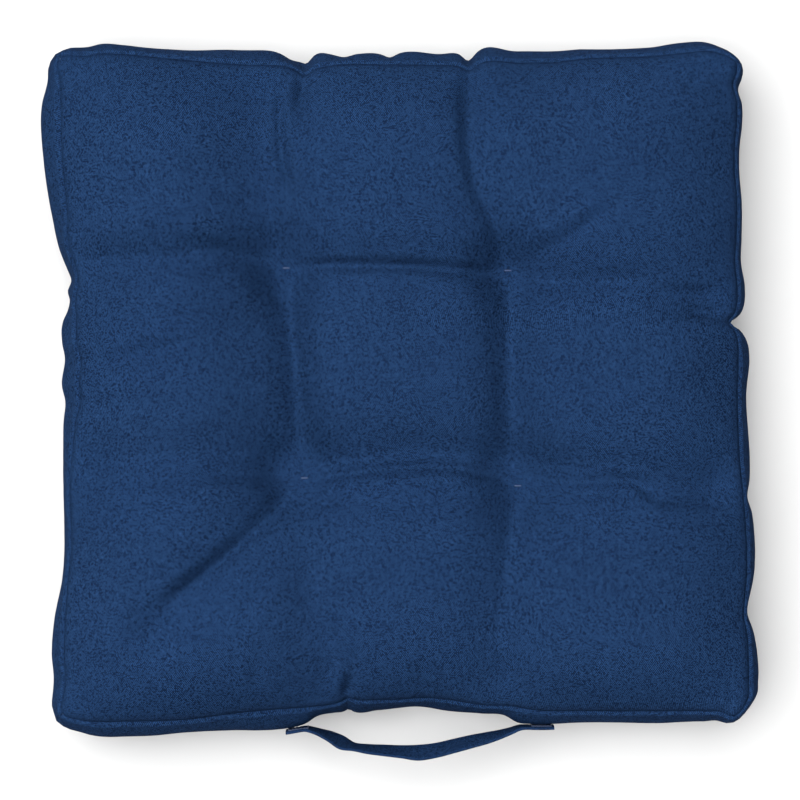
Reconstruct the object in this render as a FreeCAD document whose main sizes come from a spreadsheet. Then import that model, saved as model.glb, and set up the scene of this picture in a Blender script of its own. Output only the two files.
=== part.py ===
import FreeCAD, Part
import Sketcher
import math
import os

from FreeCAD import Placement, Rotation, Vector

# Boxed floor cushion: a cover of six canvas pieces sewn round one body of fibre filling, tufted
# right through at four points, with a carry handle on its front wall.
# Millimetres. +Z is up, the front (handle side) is -Y, and the origin is the centre of the underside.

SIZES = {
    "cover_width": 478.0,  # seam to seam along X
    "cover_depth": 464.0,  # seam to seam along Y
    "corner_radius": 18.0,  # of the seam lines, seen from above
    "wall_height": 76.0,  # lower seam to upper seam
    "wall_bulge": 12.0,  # how far a wall swells out past its seams
    "top_crown": 26.0,  # height of the top panel above the upper seam
    "bottom_crown": 10.0,  # depth of the bottom panel below the lower seam
    "crown_run": 70.0,  # width of the rounded border of each panel
    "fabric": 0.8,  # canvas thickness
    "seam_allowance": 10.0,  # cloth turned inside past the stitch line
    "stitch_inset": 2.5,  # stitch line in from the fold
    "thread": 0.8,  # width of a line of stitches
    "filling_gap": 0.3,
    "tuft_pitch_x": 155.0,
    "tuft_pitch_y": 152.0,
    "tuft_shift_x": 4.0,  # centre of the four tufts from the centre of the cushion
    "tuft_shift_y": 9.0,
    "top_tuft_depth": 30.0,
    "bottom_tuft_depth": 26.0,
    "dimple_radius": 60.0,
    "tuft_stitch": 6.0,  # length of the small stitch at each end of a tie
    "tie_proud": 1.0,
    "closing_length": 200.0,  # hand-closed stretch of the lower back seam
    "strap_width": 20.0,
    "strap_thickness": 3.0,
    "handle_span": 152.0,  # between the sewn ends
    "handle_reach": 20.0,  # finger gap at the middle of the strap
    "handle_shift": 14.0,  # middle of the handle from the middle of the wall
    "handle_stand_off": 14.0,  # gap to the wall at which the strap begins to swing freely
    "handle_clearance": 0.3,
    "tab_length": 20.0,
    "tab_stitch": 2.4,
    "tab_stitch_proud": 0.3,
    "tab_stitch_bite": 0.6,  # how deep a stitch sinks into the canvas under the strap
    "tab_stitch_pitch": 3.8,
    "tab_row_pitch": 12.0,
}
TAB_STITCHES = 5
MARGIN = 40.0  # how far a cutting block runs past what it cuts
LAP = 0.5  # how far two shapes that are joined run into each other
MITRE = 45  # degrees; two walls share a corner equally

S = SIZES
doc = FreeCAD.newDocument("FloorCushion")
sheet = doc.addObject("Spreadsheet::Sheet", "Sizes")
for row, (alias, value) in enumerate(SIZES.items(), start=1):
    sheet.set(f"A{row}", alias)
    sheet.set(f"B{row}", str(value))
    sheet.setAlias(f"B{row}", alias)
doc.recompute()


def cell(alias):
    return f"Sizes.{alias}"


# Heights and radii that follow from the sizes, as numbers and as expressions of the sheet.
LOWER_SEAM = S["bottom_crown"]
UPPER_SEAM = LOWER_SEAM + S["wall_height"]
TOP = UPPER_SEAM + S["top_crown"]
MIDDLE = LOWER_SEAM + S["wall_height"] / 2
BULGE_RADIUS = ((S["wall_height"] / 2) ** 2 + S["wall_bulge"] ** 2) / (2 * S["wall_bulge"])

LOWER_SEAM_E = cell("bottom_crown")
UPPER_SEAM_E = "(Sizes.bottom_crown + Sizes.wall_height)"
TOP_E = "(Sizes.bottom_crown + Sizes.wall_height + Sizes.top_crown)"
MIDDLE_E = "(Sizes.bottom_crown + Sizes.wall_height / 2)"
ABOVE_E = f"({TOP_E} + {MARGIN})"
BELOW_E = f"-{MARGIN}"
BULGE_RADIUS_E = "((Sizes.wall_height * Sizes.wall_height / 4 + Sizes.wall_bulge * Sizes.wall_bulge)" \
    " / (2 * Sizes.wall_bulge))"


def place(thing, **expressions):
    """Bind x, y or z of an object's Placement to the sheet."""
    for axis, expression in expressions.items():
        thing.setExpression(f"Placement.Base.{axis}", expression)


def arc(centre, start, end):
    """Anticlockwise arc about centre, from start to end."""
    from_angle = math.atan2(start.y - centre.y, start.x - centre.x)
    to_angle = math.atan2(end.y - centre.y, end.x - centre.x)
    circle = Part.Circle(centre, Vector(0, 0, 1), (start - centre).Length)
    return Part.ArcOfCircle(circle, from_angle, to_angle)


def chain(sketch, pieces, smooth=()):
    """Add (curve, clockwise) pieces as one closed outline, and return the number of its first curve.
    The curve after each number in smooth leaves it without a corner."""
    first = sketch.GeometryCount
    for curve, _ in pieces:
        sketch.addGeometry(curve, False)
    for number, (_, clockwise) in enumerate(pieces):
        following = (number + 1) % len(pieces)
        end = 1 if clockwise else 2
        start = 2 if pieces[following][1] else 1
        kind = "Tangent" if number in smooth else "Coincident"
        rule(kind, sketch, first + number, end, first + following, start)
    return first


def rule(kind, sketch, *where):
    sketch.addConstraint(Sketcher.Constraint(kind, *where))


def measure(kind, sketch, *where, value, expression):
    """Add a dimension and bind it to the sheet."""
    index = sketch.addConstraint(Sketcher.Constraint(kind, *where, value))
    sketch.setExpression(f"Constraints[{index}]", expression)


def lines(*points):
    """Straight pieces through the points, for chain()."""
    return [(Part.LineSegment(a, b), False) for a, b in zip(points, points[1:])]


def new_body(label):
    body = doc.addObject("PartDesign::Body", label)
    body.Label = label
    return body


def body_sketch(body, name, plane):
    sketch = body.newObject("Sketcher::SketchObject", name)
    origin_plane = [f for f in body.Origin.OriginFeatures if f.Role == plane][0]
    sketch.AttachmentSupport = [(origin_plane, "")]
    sketch.MapMode = "FlatFace"
    return sketch


def pad(body, sketch, length, both_ways=True, reverse=False):
    feature = body.newObject("PartDesign::Pad", sketch.Name + "_pad")
    feature.Profile = sketch
    feature.setExpression("Length", length)
    feature.Midplane = both_ways
    feature.Reversed = reverse
    sketch.Visibility = False


def free_sketch(name, rotation):
    sketch = doc.addObject("Sketcher::SketchObject", name)
    sketch.Placement = Placement(Vector(), rotation)
    return sketch


FLAT = Rotation()
FACING_Y = Rotation(Vector(1, 0, 0), Vector(0, 0, 1), Vector(0, -1, 0))  # sketch X, Y = X, Z
FACING_X = Rotation(Vector(0, 1, 0), Vector(0, 0, 1), Vector(1, 0, 0))  # sketch X, Y = Y, Z


def extrude(name, sketch, length, symmetric=True):
    solid = doc.addObject("Part::Extrusion", name)
    solid.Base = sketch
    solid.DirMode = "Normal"
    solid.setExpression("LengthFwd", length)
    solid.Solid = True
    solid.Symmetric = symmetric
    sketch.Visibility = False
    return solid


def cut(name, base, tool):
    result = doc.addObject("Part::Cut", name)
    result.Base = base
    result.Tool = tool
    result.Label = name
    return result


def join(name, shapes, kind="Part::MultiFuse"):
    result = doc.addObject(kind, name)
    result.Shapes = shapes
    result.Label = name
    return result


def common(name, shapes):
    return join(name, shapes, "Part::MultiCommon")


def slab(name, low, high):
    """A block wider than the cushion, between two heights given as expressions."""
    block = doc.addObject("Part::Box", name)
    block.setExpression("Length", f"Sizes.cover_width + 2 * {MARGIN}")
    block.setExpression("Width", f"Sizes.cover_depth + 2 * {MARGIN}")
    block.setExpression("Height", f"({high}) - ({low})")
    place(
        block,
        x=f"-Sizes.cover_width / 2 - {MARGIN}",
        y=f"-Sizes.cover_depth / 2 - {MARGIN}",
        z=low,
    )
    return block


def rounded_rectangle(sketch, inset, inset_e):
    """The seam line seen from above, drawn inset towards the middle."""
    across = S["cover_width"] / 2 - inset
    along = S["cover_depth"] / 2 - inset
    turn = S["corner_radius"] - inset
    pieces = []
    for sx, sy in ((1, -1), (1, 1), (-1, 1), (-1, -1)):
        centre = Vector(sx * (across - turn), sy * (along - turn), 0)
        beside = Vector(sx * across, centre.y, 0)
        ahead = Vector(centre.x, sy * along, 0)
        start, end = (ahead, beside) if sx * sy < 0 else (beside, ahead)
        pieces.append((arc(centre, start, end), False))
        pieces.append(None)
    for number in range(1, 8, 2):
        before = pieces[number - 1][0].EndPoint
        after = pieces[(number + 1) % 8][0].StartPoint
        pieces[number] = lines(before, after)[0]
    first = chain(sketch, pieces, smooth=range(8))
    for number in range(1, 8, 2):
        rule("Vertical" if number in (1, 5) else "Horizontal", sketch, first + number)
    for number in (2, 4, 6):
        rule("Equal", sketch, first, first + number)
    measure("Radius", sketch, first, value=turn, expression=f"Sizes.corner_radius - {inset_e}")
    half_width = f"Sizes.cover_width / 2 - {inset_e}"
    half_depth = f"Sizes.cover_depth / 2 - {inset_e}"
    measure("DistanceX", sketch, -1, 1, first + 1, 1, value=across, expression=half_width)
    measure("DistanceX", sketch, first + 5, 1, -1, 1, value=across, expression=half_width)
    measure("DistanceY", sketch, -1, 1, first + 3, 1, value=along, expression=half_depth)
    measure("DistanceY", sketch, first + 7, 1, -1, 1, value=along, expression=half_depth)


def crowned_profile(sketch, half, half_e, inset, inset_e):
    """Side view of the stuffed cushion without its wall bulge: two flat plateaus, four rounded
    shoulders and two upright sides, all drawn inset towards the middle."""
    run = S["crown_run"]
    foot = half - run
    side = half - inset
    levels = (
        (TOP - inset, f"({TOP_E}) - {inset_e}", S["top_crown"], "Sizes.top_crown"),
        (inset, inset_e, S["bottom_crown"], "Sizes.bottom_crown"),
    )
    corners = {}
    for level, (plateau, _, crown, _) in enumerate(levels):
        radius = (run**2 + crown**2) / (2 * crown)
        up = 1 if level == 0 else -1
        centre_z = plateau - up * (radius - inset)
        meet_z = centre_z + up * math.sqrt((radius - inset) ** 2 - (side - foot) ** 2)
        for sx in (1, -1):
            corners[level, sx] = (
                Vector(sx * foot, centre_z, 0),
                Vector(sx * foot, plateau, 0),
                Vector(sx * side, meet_z, 0),
            )
    top_right, top_left = corners[0, 1], corners[0, -1]
    low_right, low_left = corners[1, 1], corners[1, -1]
    pieces = lines(low_right[2], top_right[2])
    pieces.append((arc(top_right[0], top_right[2], top_right[1]), False))
    pieces += lines(top_right[1], top_left[1])
    pieces.append((arc(top_left[0], top_left[1], top_left[2]), False))
    pieces += lines(top_left[2], low_left[2])
    pieces.append((arc(low_left[0], low_left[2], low_left[1]), False))
    pieces += lines(low_left[1], low_right[1])
    pieces.append((arc(low_right[0], low_right[1], low_right[2]), False))
    right_side, top_line, left_side, low_line = 0, 2, 4, 6
    chain(sketch, pieces, smooth=(top_line - 1, top_line, low_line - 1, low_line))
    for upright in (right_side, left_side):
        rule("Vertical", sketch, upright)
    for level in (top_line, low_line):
        rule("Horizontal", sketch, level)
    side_e = f"{half_e} - {inset_e}"
    measure("DistanceX", sketch, -1, 1, right_side, 1, value=side, expression=side_e)
    measure("DistanceX", sketch, left_side, 1, -1, 1, value=side, expression=side_e)
    measure("DistanceY", sketch, -1, 1, top_line, 1, value=levels[0][0], expression=levels[0][1])
    measure("DistanceY", sketch, -1, 1, low_line, 1, value=levels[1][0], expression=levels[1][1])
    foot_e = f"{half_e} - Sizes.crown_run"
    measure("DistanceX", sketch, -1, 1, top_line, 1, value=foot, expression=foot_e)
    measure("DistanceX", sketch, top_line, 2, -1, 1, value=foot, expression=foot_e)
    measure("DistanceX", sketch, low_line, 1, -1, 1, value=foot, expression=foot_e)
    measure("DistanceX", sketch, -1, 1, low_line, 2, value=foot, expression=foot_e)
    for level, shoulders in enumerate(((1, 3), (5, 7))):
        crown, crown_e = levels[level][2:]
        radius = (run**2 + crown**2) / (2 * crown) - inset
        outer_e = f"(Sizes.crown_run * Sizes.crown_run + {crown_e} * {crown_e}) / (2 * {crown_e})"
        for shoulder in shoulders:
            measure("Radius", sketch, shoulder, value=radius, expression=f"{outer_e} - {inset_e}")


def crowned_block(name, inset, inset_e):
    """The whole stuffed cushion inside its seam lines, inset on every side."""
    side_view = free_sketch(name + "_side_view", FACING_X)
    crowned_profile(side_view, S["cover_depth"] / 2, "Sizes.cover_depth / 2", inset, inset_e)
    front_view = free_sketch(name + "_front_view", FACING_Y)
    crowned_profile(front_view, S["cover_width"] / 2, "Sizes.cover_width / 2", inset, inset_e)
    plan = free_sketch(name + "_plan", FLAT)
    rounded_rectangle(plan, inset, inset_e)
    column = extrude(name + "_column", plan, TOP_E, symmetric=False)
    return common(
        name,
        [
            extrude(name + "_along", side_view, f"Sizes.cover_width + {MARGIN}"),
            extrude(name + "_across", front_view, f"Sizes.cover_depth + {MARGIN}"),
            column,
        ],
    )


def inner_column(name, inset, inset_e, low, high):
    """What lies inside the seam allowances, between two heights."""
    plan = free_sketch(name + "_plan", FLAT)
    rounded_rectangle(plan, inset, inset_e)
    column = extrude(name, plan, f"({high}) - ({low})", symmetric=False)
    place(plan, z=low)
    return column


TUFTS = {
    "front_left": (-1, -1),
    "front_right": (1, -1),
    "back_left": (-1, 1),
    "back_right": (1, 1),
}
TUFT_BOTTOM_E = {
    "top": f"({TOP_E} - Sizes.top_tuft_depth)",
    "bottom": "Sizes.bottom_tuft_depth",
}


def tuft_x(sx):
    return f"Sizes.tuft_shift_x + {sx} * Sizes.tuft_pitch_x / 2"


def tuft_y(sy):
    return f"Sizes.tuft_shift_y + {sy} * Sizes.tuft_pitch_y / 2"


def dimples(name, face, grow):
    """The four hollows that the ties pull into one face, as balls grown by an expression."""
    up = 1 if face == "top" else -1
    balls = []
    for spot, (sx, sy) in TUFTS.items():
        ball = doc.addObject("Part::Sphere", f"{name}_{spot}")
        ball.setExpression("Radius", f"Sizes.dimple_radius + {grow}")
        place(ball, x=tuft_x(sx), y=tuft_y(sy), z=f"{TUFT_BOTTOM_E[face]} + {up} * Sizes.dimple_radius")
        balls.append(ball)
    return join(name, balls)


def make_panel(face, outer, inner):
    """One square of canvas: a crowned shell with four bowls, and its seam allowance turned inside."""
    label = f"{face}_panel"
    if face == "top":
        border = slab(label + "_above", UPPER_SEAM_E, ABOVE_E)
        hollow_low, hollow_high = f"{UPPER_SEAM_E} + Sizes.fabric", ABOVE_E
        mouth_low, mouth_high = f"{UPPER_SEAM_E} - {LAP}", f"{UPPER_SEAM_E} + Sizes.fabric + {LAP}"
    else:
        border = slab(label + "_below", BELOW_E, LOWER_SEAM_E)
        hollow_low, hollow_high = BELOW_E, f"{LOWER_SEAM_E} - Sizes.fabric"
        mouth_low, mouth_high = f"{LOWER_SEAM_E} - Sizes.fabric - {LAP}", f"{LOWER_SEAM_E} + {LAP}"
    bowls = dimples(label + "_bowls", face, "Sizes.fabric")
    skin = common(label + "_skin", [outer, border])
    skin_of_bowls = common(label + "_bowl_skin", [outer, bowls])
    hollow_block = slab(label + "_hollow_block", hollow_low, hollow_high)
    hollow = common(label + "_hollow", [inner, hollow_block])
    mouth = inner_column(
        label + "_mouth", S["seam_allowance"], cell("seam_allowance"), mouth_low, mouth_high
    )
    inside = cut(label + "_inside", join(label + "_room", [hollow, mouth]), bowls)
    shell = cut(label + "_shell", join(label + "_solid", [skin, skin_of_bowls]), inside)
    return cut(label, shell, dimples(label + "_dimples", face, "0"))


def wall_profile(sketch, reach, reach_e):
    """Section of a wall: a bulged band of canvas and a seam allowance at each edge, turned inside.
    The outside faces the sketch's negative side, and the seams are reach away from its origin."""
    fabric, allowance, radius = S["fabric"], S["seam_allowance"], BULGE_RADIUS
    half = S["wall_height"] / 2
    centre = Vector(radius - reach - S["wall_bulge"], MIDDLE, 0)
    inner_half = half - fabric
    inner_x = centre.x - math.sqrt((radius - fabric) ** 2 - inner_half**2)
    fold_x, edge_x = -reach, allowance - reach
    low_fold, high_fold = Vector(fold_x, LOWER_SEAM, 0), Vector(fold_x, UPPER_SEAM, 0)
    low_inner = Vector(inner_x, LOWER_SEAM + fabric, 0)
    high_inner = Vector(inner_x, UPPER_SEAM - fabric, 0)
    pieces = [(arc(centre, high_fold, low_fold), False)]
    pieces += lines(
        low_fold,
        Vector(edge_x, LOWER_SEAM, 0),
        Vector(edge_x, LOWER_SEAM + fabric, 0),
        low_inner,
    )
    pieces.append((arc(centre, high_inner, low_inner), True))
    pieces += lines(
        high_inner,
        Vector(edge_x, UPPER_SEAM - fabric, 0),
        Vector(edge_x, UPPER_SEAM, 0),
        high_fold,
    )
    chain(sketch, pieces)
    outside, low_flap, low_edge, low_back, inside, high_back, high_edge, high_flap = range(8)
    for level in (low_flap, low_back, high_back, high_flap):
        rule("Horizontal", sketch, level)
    for upright in (low_edge, high_edge):
        rule("Vertical", sketch, upright)
    rule("Coincident", sketch, outside, 3, inside, 3)
    measure("DistanceX", sketch, outside, 1, -1, 1, value=reach, expression=reach_e)
    measure("DistanceX", sketch, outside, 2, -1, 1, value=reach, expression=reach_e)
    measure("DistanceY", sketch, -1, 1, outside, 2, value=LOWER_SEAM, expression=LOWER_SEAM_E)
    measure("DistanceY", sketch, -1, 1, outside, 1, value=UPPER_SEAM, expression=UPPER_SEAM_E)
    measure("Radius", sketch, outside, value=radius, expression=BULGE_RADIUS_E)
    measure("Radius", sketch, inside, value=radius - fabric, expression=BULGE_RADIUS_E + " - Sizes.fabric")
    allowance_e, fabric_e = cell("seam_allowance"), cell("fabric")
    measure("DistanceX", sketch, low_flap, 1, low_flap, 2, value=allowance, expression=allowance_e)
    measure("DistanceX", sketch, high_flap, 2, high_flap, 1, value=allowance, expression=allowance_e)
    measure("DistanceY", sketch, low_edge, 1, low_edge, 2, value=fabric, expression=fabric_e)
    measure("DistanceY", sketch, high_edge, 1, high_edge, 2, value=fabric, expression=fabric_e)


def make_wall(label, along, across, angle):
    """A strip of canvas from mitre to mitre. It is drawn as the front wall and turned into place."""
    body = new_body(label)
    straight = body_sketch(body, label + "_section", "YZ_Plane")
    wall_profile(straight, S[across] / 2, f"Sizes.{across} / 2")
    pad(body, straight, f"Sizes.{along} - 2 * Sizes.corner_radius")
    for sx in (-1, 1):
        corner = body_sketch(body, f"{label}_corner_{'left' if sx < 0 else 'right'}", "YZ_Plane")
        corner.setExpression("AttachmentOffset.Base.x", f"-(Sizes.{across} / 2 - Sizes.corner_radius)")
        corner.setExpression("AttachmentOffset.Base.z", f"{sx} * (Sizes.{along} / 2 - Sizes.corner_radius)")
        wall_profile(corner, S["corner_radius"], cell("corner_radius"))
        turn = body.newObject("PartDesign::Revolution", corner.Name + "_turn")
        turn.Profile = corner
        turn.ReferenceAxis = (corner, ["V_Axis"])
        turn.Angle = MITRE
        turn.Reversed = sx < 0
        corner.Visibility = False
    body.Placement = Placement(Vector(), Rotation(Vector(0, 0, 1), angle))
    return body


def bulged_profile(sketch, half, half_e, inset, inset_e, from_axis=False):
    """Side view of the filling between the seam allowances, swelling out into the walls."""
    shut = inset + S["fabric"]  # the allowance lies between the seam and the filling
    shut_e = f"(Sizes.fabric + {inset_e})"
    radius = BULGE_RADIUS - S["fabric"] - inset
    reach = half + S["wall_bulge"] - BULGE_RADIUS
    low, high = LOWER_SEAM + shut, UPPER_SEAM - shut
    edge = reach + math.sqrt(radius**2 - (S["wall_height"] / 2 - shut) ** 2)
    right = arc(Vector(reach, MIDDLE, 0), Vector(edge, low, 0), Vector(edge, high, 0))
    near = 0 if from_axis else -edge
    pieces = [(right, False)]
    pieces += lines(Vector(edge, high, 0), Vector(near, high, 0))
    if from_axis:
        pieces += lines(Vector(near, high, 0), Vector(near, low, 0))
    else:
        left = arc(Vector(-reach, MIDDLE, 0), Vector(-edge, high, 0), Vector(-edge, low, 0))
        pieces.append((left, False))
    pieces += lines(Vector(near, low, 0), Vector(edge, low, 0))
    chain(sketch, pieces)
    right_arc, high_line, near_side, low_line = range(4)
    rule("Horizontal", sketch, high_line)
    rule("Horizontal", sketch, low_line)
    measure("DistanceY", sketch, -1, 1, low_line, 1, value=low, expression=f"{LOWER_SEAM_E} + {shut_e}")
    measure("DistanceY", sketch, -1, 1, high_line, 1, value=high, expression=f"{UPPER_SEAM_E} - {shut_e}")
    radius_e = f"{BULGE_RADIUS_E} - Sizes.fabric - {inset_e}"
    reach_e = f"{half_e} + Sizes.wall_bulge - {BULGE_RADIUS_E}"
    rounds = (right_arc,) if from_axis else (right_arc, near_side)
    for number in rounds:
        measure("Radius", sketch, number, value=radius, expression=radius_e)
        measure("DistanceY", sketch, -1, 1, number, 3, value=MIDDLE, expression=MIDDLE_E)
    if reach < 0:
        measure("DistanceX", sketch, right_arc, 3, -1, 1, value=-reach, expression=f"-({reach_e})")
    else:
        measure("DistanceX", sketch, -1, 1, right_arc, 3, value=reach, expression=reach_e)
    if from_axis:
        rule("PointOnObject", sketch, near_side, 1, -2)
        rule("PointOnObject", sketch, near_side, 2, -2)
    else:
        measure("DistanceX", sketch, near_side, 3, -1, 1, value=reach, expression=reach_e)


def make_filling(inner):
    """Loose fibre: it fills the cover up to a small gap, and is pulled in at the tufts."""
    gap, gap_e = S["filling_gap"], cell("filling_gap")
    long_view = free_sketch("filling_side_view", FACING_X)
    bulged_profile(long_view, S["cover_depth"] / 2, "Sizes.cover_depth / 2", gap, gap_e)
    wide_view = free_sketch("filling_front_view", FACING_Y)
    bulged_profile(wide_view, S["cover_width"] / 2, "Sizes.cover_width / 2", gap, gap_e)
    pieces = [
        extrude("filling_along", long_view, "Sizes.cover_width - 2 * Sizes.corner_radius"),
        extrude("filling_across", wide_view, "Sizes.cover_depth - 2 * Sizes.corner_radius"),
    ]
    for number, (sx, sy) in enumerate(TUFTS.values(), start=1):
        corner_view = free_sketch(f"filling_corner_view_{number}", FACING_Y)
        bulged_profile(corner_view, S["corner_radius"], cell("corner_radius"), gap, gap_e, from_axis=True)
        corner = doc.addObject("Part::Revolution", f"filling_corner_{number}")
        corner.Source = corner_view
        corner.Axis = Vector(0, 0, 1)
        corner.Solid = True
        corner_view.Visibility = False
        place(
            corner,
            x=f"{sx} * (Sizes.cover_width / 2 - Sizes.corner_radius)",
            y=f"{sy} * (Sizes.cover_depth / 2 - Sizes.corner_radius)",
        )
        pieces.append(corner)
    shut_e = "(Sizes.fabric + Sizes.filling_gap)"
    neck_inset = S["seam_allowance"] + gap
    neck_inset_e = "(Sizes.seam_allowance + Sizes.filling_gap)"
    neck_low, neck_high = f"{LOWER_SEAM_E} - {shut_e} - {LAP}", f"{UPPER_SEAM_E} + {shut_e} + {LAP}"
    pieces.append(inner_column("filling_neck", neck_inset, neck_inset_e, neck_low, neck_high))
    upper = slab("filling_upper_block", f"{UPPER_SEAM_E} + {shut_e}", ABOVE_E)
    lower = slab("filling_lower_block", BELOW_E, f"{LOWER_SEAM_E} - {shut_e}")
    pieces.append(common("filling_upper", [inner, upper]))
    pieces.append(common("filling_lower", [inner, lower]))
    stuffed = join("filling_stuffed", pieces)
    pressed = cut("filling_pressed", stuffed, dimples("filling_top_bowls", "top", shut_e))
    return cut("filling", pressed, dimples("filling_bottom_bowls", "bottom", shut_e))


def make_tie(spot, sx, sy):
    """Thread through the whole cushion, with a short stitch across each end."""
    label = f"tuft_tie_{spot}"
    low, high = TUFT_BOTTOM_E["bottom"], TUFT_BOTTOM_E["top"]
    cord = doc.addObject("Part::Cylinder", label + "_cord")
    cord.setExpression("Radius", "Sizes.thread")
    cord.setExpression("Height", f"{high} - {low}")
    place(cord, x=tuft_x(sx), y=tuft_y(sy), z=low)
    pieces = [cord]
    for end, base in (("top", high), ("bottom", f"{low} - Sizes.tie_proud")):
        bar = doc.addObject("Part::Box", f"{label}_{end}_stitch")
        bar.setExpression("Length", "Sizes.tuft_stitch")
        bar.setExpression("Width", "2 * Sizes.thread")
        bar.setExpression("Height", "Sizes.tie_proud")
        place(bar, x=f"{tuft_x(sx)} - Sizes.tuft_stitch / 2", y=f"{tuft_y(sy)} - Sizes.thread", z=base)
        pieces.append(bar)
    return join(label, pieces)


def stitch_ring(label, height_e):
    """A line of stitches round the cushion, half in the panel's allowance and half in the walls'."""
    plan = free_sketch(label + "_plan", FLAT)
    outer, outer_e = S["stitch_inset"], cell("stitch_inset")
    rounded_rectangle(plan, outer, outer_e)
    rounded_rectangle(plan, outer + S["thread"], f"({outer_e} + Sizes.thread)")
    ring = extrude(label, plan, cell("thread"))
    place(plan, z=height_e)
    ring.Label = label
    return ring


def make_corner_thread(spot, sx, sy):
    """The upright seam at one corner: a bowed line of stitches that follows the bulge of the walls."""
    label = f"corner_seam_thread_{spot}"
    out = Vector(sx, sy, 0).normalize()
    hoop = doc.addObject("Part::Torus", label + "_hoop")
    hoop.setExpression("Radius1", f"{BULGE_RADIUS_E} - Sizes.fabric / 2")
    hoop.setExpression("Radius2", "Sizes.thread / 2")
    hoop.Placement = Placement(Vector(), Rotation(Vector(0, 0, 1), Vector(-sy, sx, 0)))
    reach = f"(Sizes.corner_radius + Sizes.wall_bulge - {BULGE_RADIUS_E})"
    place(
        hoop,
        x=f"{sx} * (Sizes.cover_width / 2 - Sizes.corner_radius) + {out.x} * {reach}",
        y=f"{sy} * (Sizes.cover_depth / 2 - Sizes.corner_radius) + {out.y} * {reach}",
        z=MIDDLE_E,
    )
    corner = doc.addObject("Part::Box", label + "_corner")
    size = "(Sizes.corner_radius + Sizes.wall_bulge)"
    corner.setExpression("Length", size)
    corner.setExpression("Width", size)
    corner.setExpression("Height", "Sizes.wall_height - 2 * Sizes.fabric")
    place(
        corner,
        x=f"{sx} * (Sizes.cover_width / 2 - Sizes.corner_radius) - {size} * {0 if sx > 0 else 1}",
        y=f"{sy} * (Sizes.cover_depth / 2 - Sizes.corner_radius) - {size} * {0 if sy > 0 else 1}",
        z=f"{LOWER_SEAM_E} + Sizes.fabric",
    )
    return common(label, [hoop, corner])


# The handle is drawn about its own origin, which is the middle of the line that it swings about.
STRAP = S["strap_thickness"]
HALF_SPAN = S["handle_span"] / 2
INNER_RADIUS = (HALF_SPAN**2 + S["handle_reach"] ** 2) / (2 * S["handle_reach"])
BOW_CENTRE = STRAP / 2 - S["handle_reach"] + INNER_RADIUS
LOOP_HALF = math.sqrt(INNER_RADIUS**2 - (BOW_CENTRE + S["handle_stand_off"]) ** 2)

INNER_RADIUS_E = "((Sizes.handle_span * Sizes.handle_span / 4 + Sizes.handle_reach * Sizes.handle_reach)" \
    " / (2 * Sizes.handle_reach))"
BOW_CENTRE_E = f"(Sizes.strap_thickness / 2 - Sizes.handle_reach + {INNER_RADIUS_E})"
OUTER_RADIUS_E = f"({INNER_RADIUS_E} + Sizes.strap_thickness)"
STAND_OFF_E = f"({BOW_CENTRE_E} + Sizes.handle_stand_off)"
LOOP_HALF_E = f"sqrt({INNER_RADIUS_E} * {INNER_RADIUS_E} - {STAND_OFF_E} * {STAND_OFF_E})"


def place_on_front_wall(body):
    place(
        body,
        x=cell("handle_shift"),
        y="-(Sizes.cover_depth / 2 + Sizes.wall_bulge + Sizes.strap_thickness / 2)",
        z=MIDDLE_E,
    )


def bow(x, radius):
    """Point of the bowed strap at a given x."""
    return Vector(x, BOW_CENTRE - math.sqrt(radius**2 - x**2), 0)


def strap_outline(sketch, low, low_e, high, high_e):
    """Plan of the strap between two x values: two arcs about one centre, cut off square to X."""
    outer = INNER_RADIUS + STRAP
    centre = Vector(0, BOW_CENTRE, 0)
    corners = [bow(low, outer), bow(high, outer), bow(high, INNER_RADIUS), bow(low, INNER_RADIUS)]
    pieces = [(arc(centre, corners[0], corners[1]), False)]
    pieces += lines(corners[1], corners[2])
    pieces.append((arc(centre, corners[3], corners[2]), True))
    pieces += lines(corners[3], corners[0])
    chain(sketch, pieces)
    outside, high_end, inside, low_end = range(4)
    rule("Coincident", sketch, outside, 3, inside, 3)
    rule("PointOnObject", sketch, outside, 3, -2)
    rule("Vertical", sketch, high_end)
    rule("Vertical", sketch, low_end)
    measure("DistanceY", sketch, -1, 1, outside, 3, value=BOW_CENTRE, expression=BOW_CENTRE_E)
    measure("Radius", sketch, outside, value=outer, expression=OUTER_RADIUS_E)
    measure("Radius", sketch, inside, value=INNER_RADIUS, expression=INNER_RADIUS_E)
    for point, x, x_e in ((1, low, low_e), (2, high, high_e)):
        if x < 0:
            measure("DistanceX", sketch, outside, point, -1, 1, value=-x, expression=f"-({x_e})")
        else:
            measure("DistanceX", sketch, -1, 1, outside, point, value=x, expression=x_e)


def make_loop():
    body = new_body("handle_loop")
    plan = body_sketch(body, "handle_loop_plan", "XY_Plane")
    strap_outline(plan, -LOOP_HALF, f"-{LOOP_HALF_E}", LOOP_HALF, LOOP_HALF_E)
    pad(body, plan, cell("strap_width"))
    place_on_front_wall(body)
    return body


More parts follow.
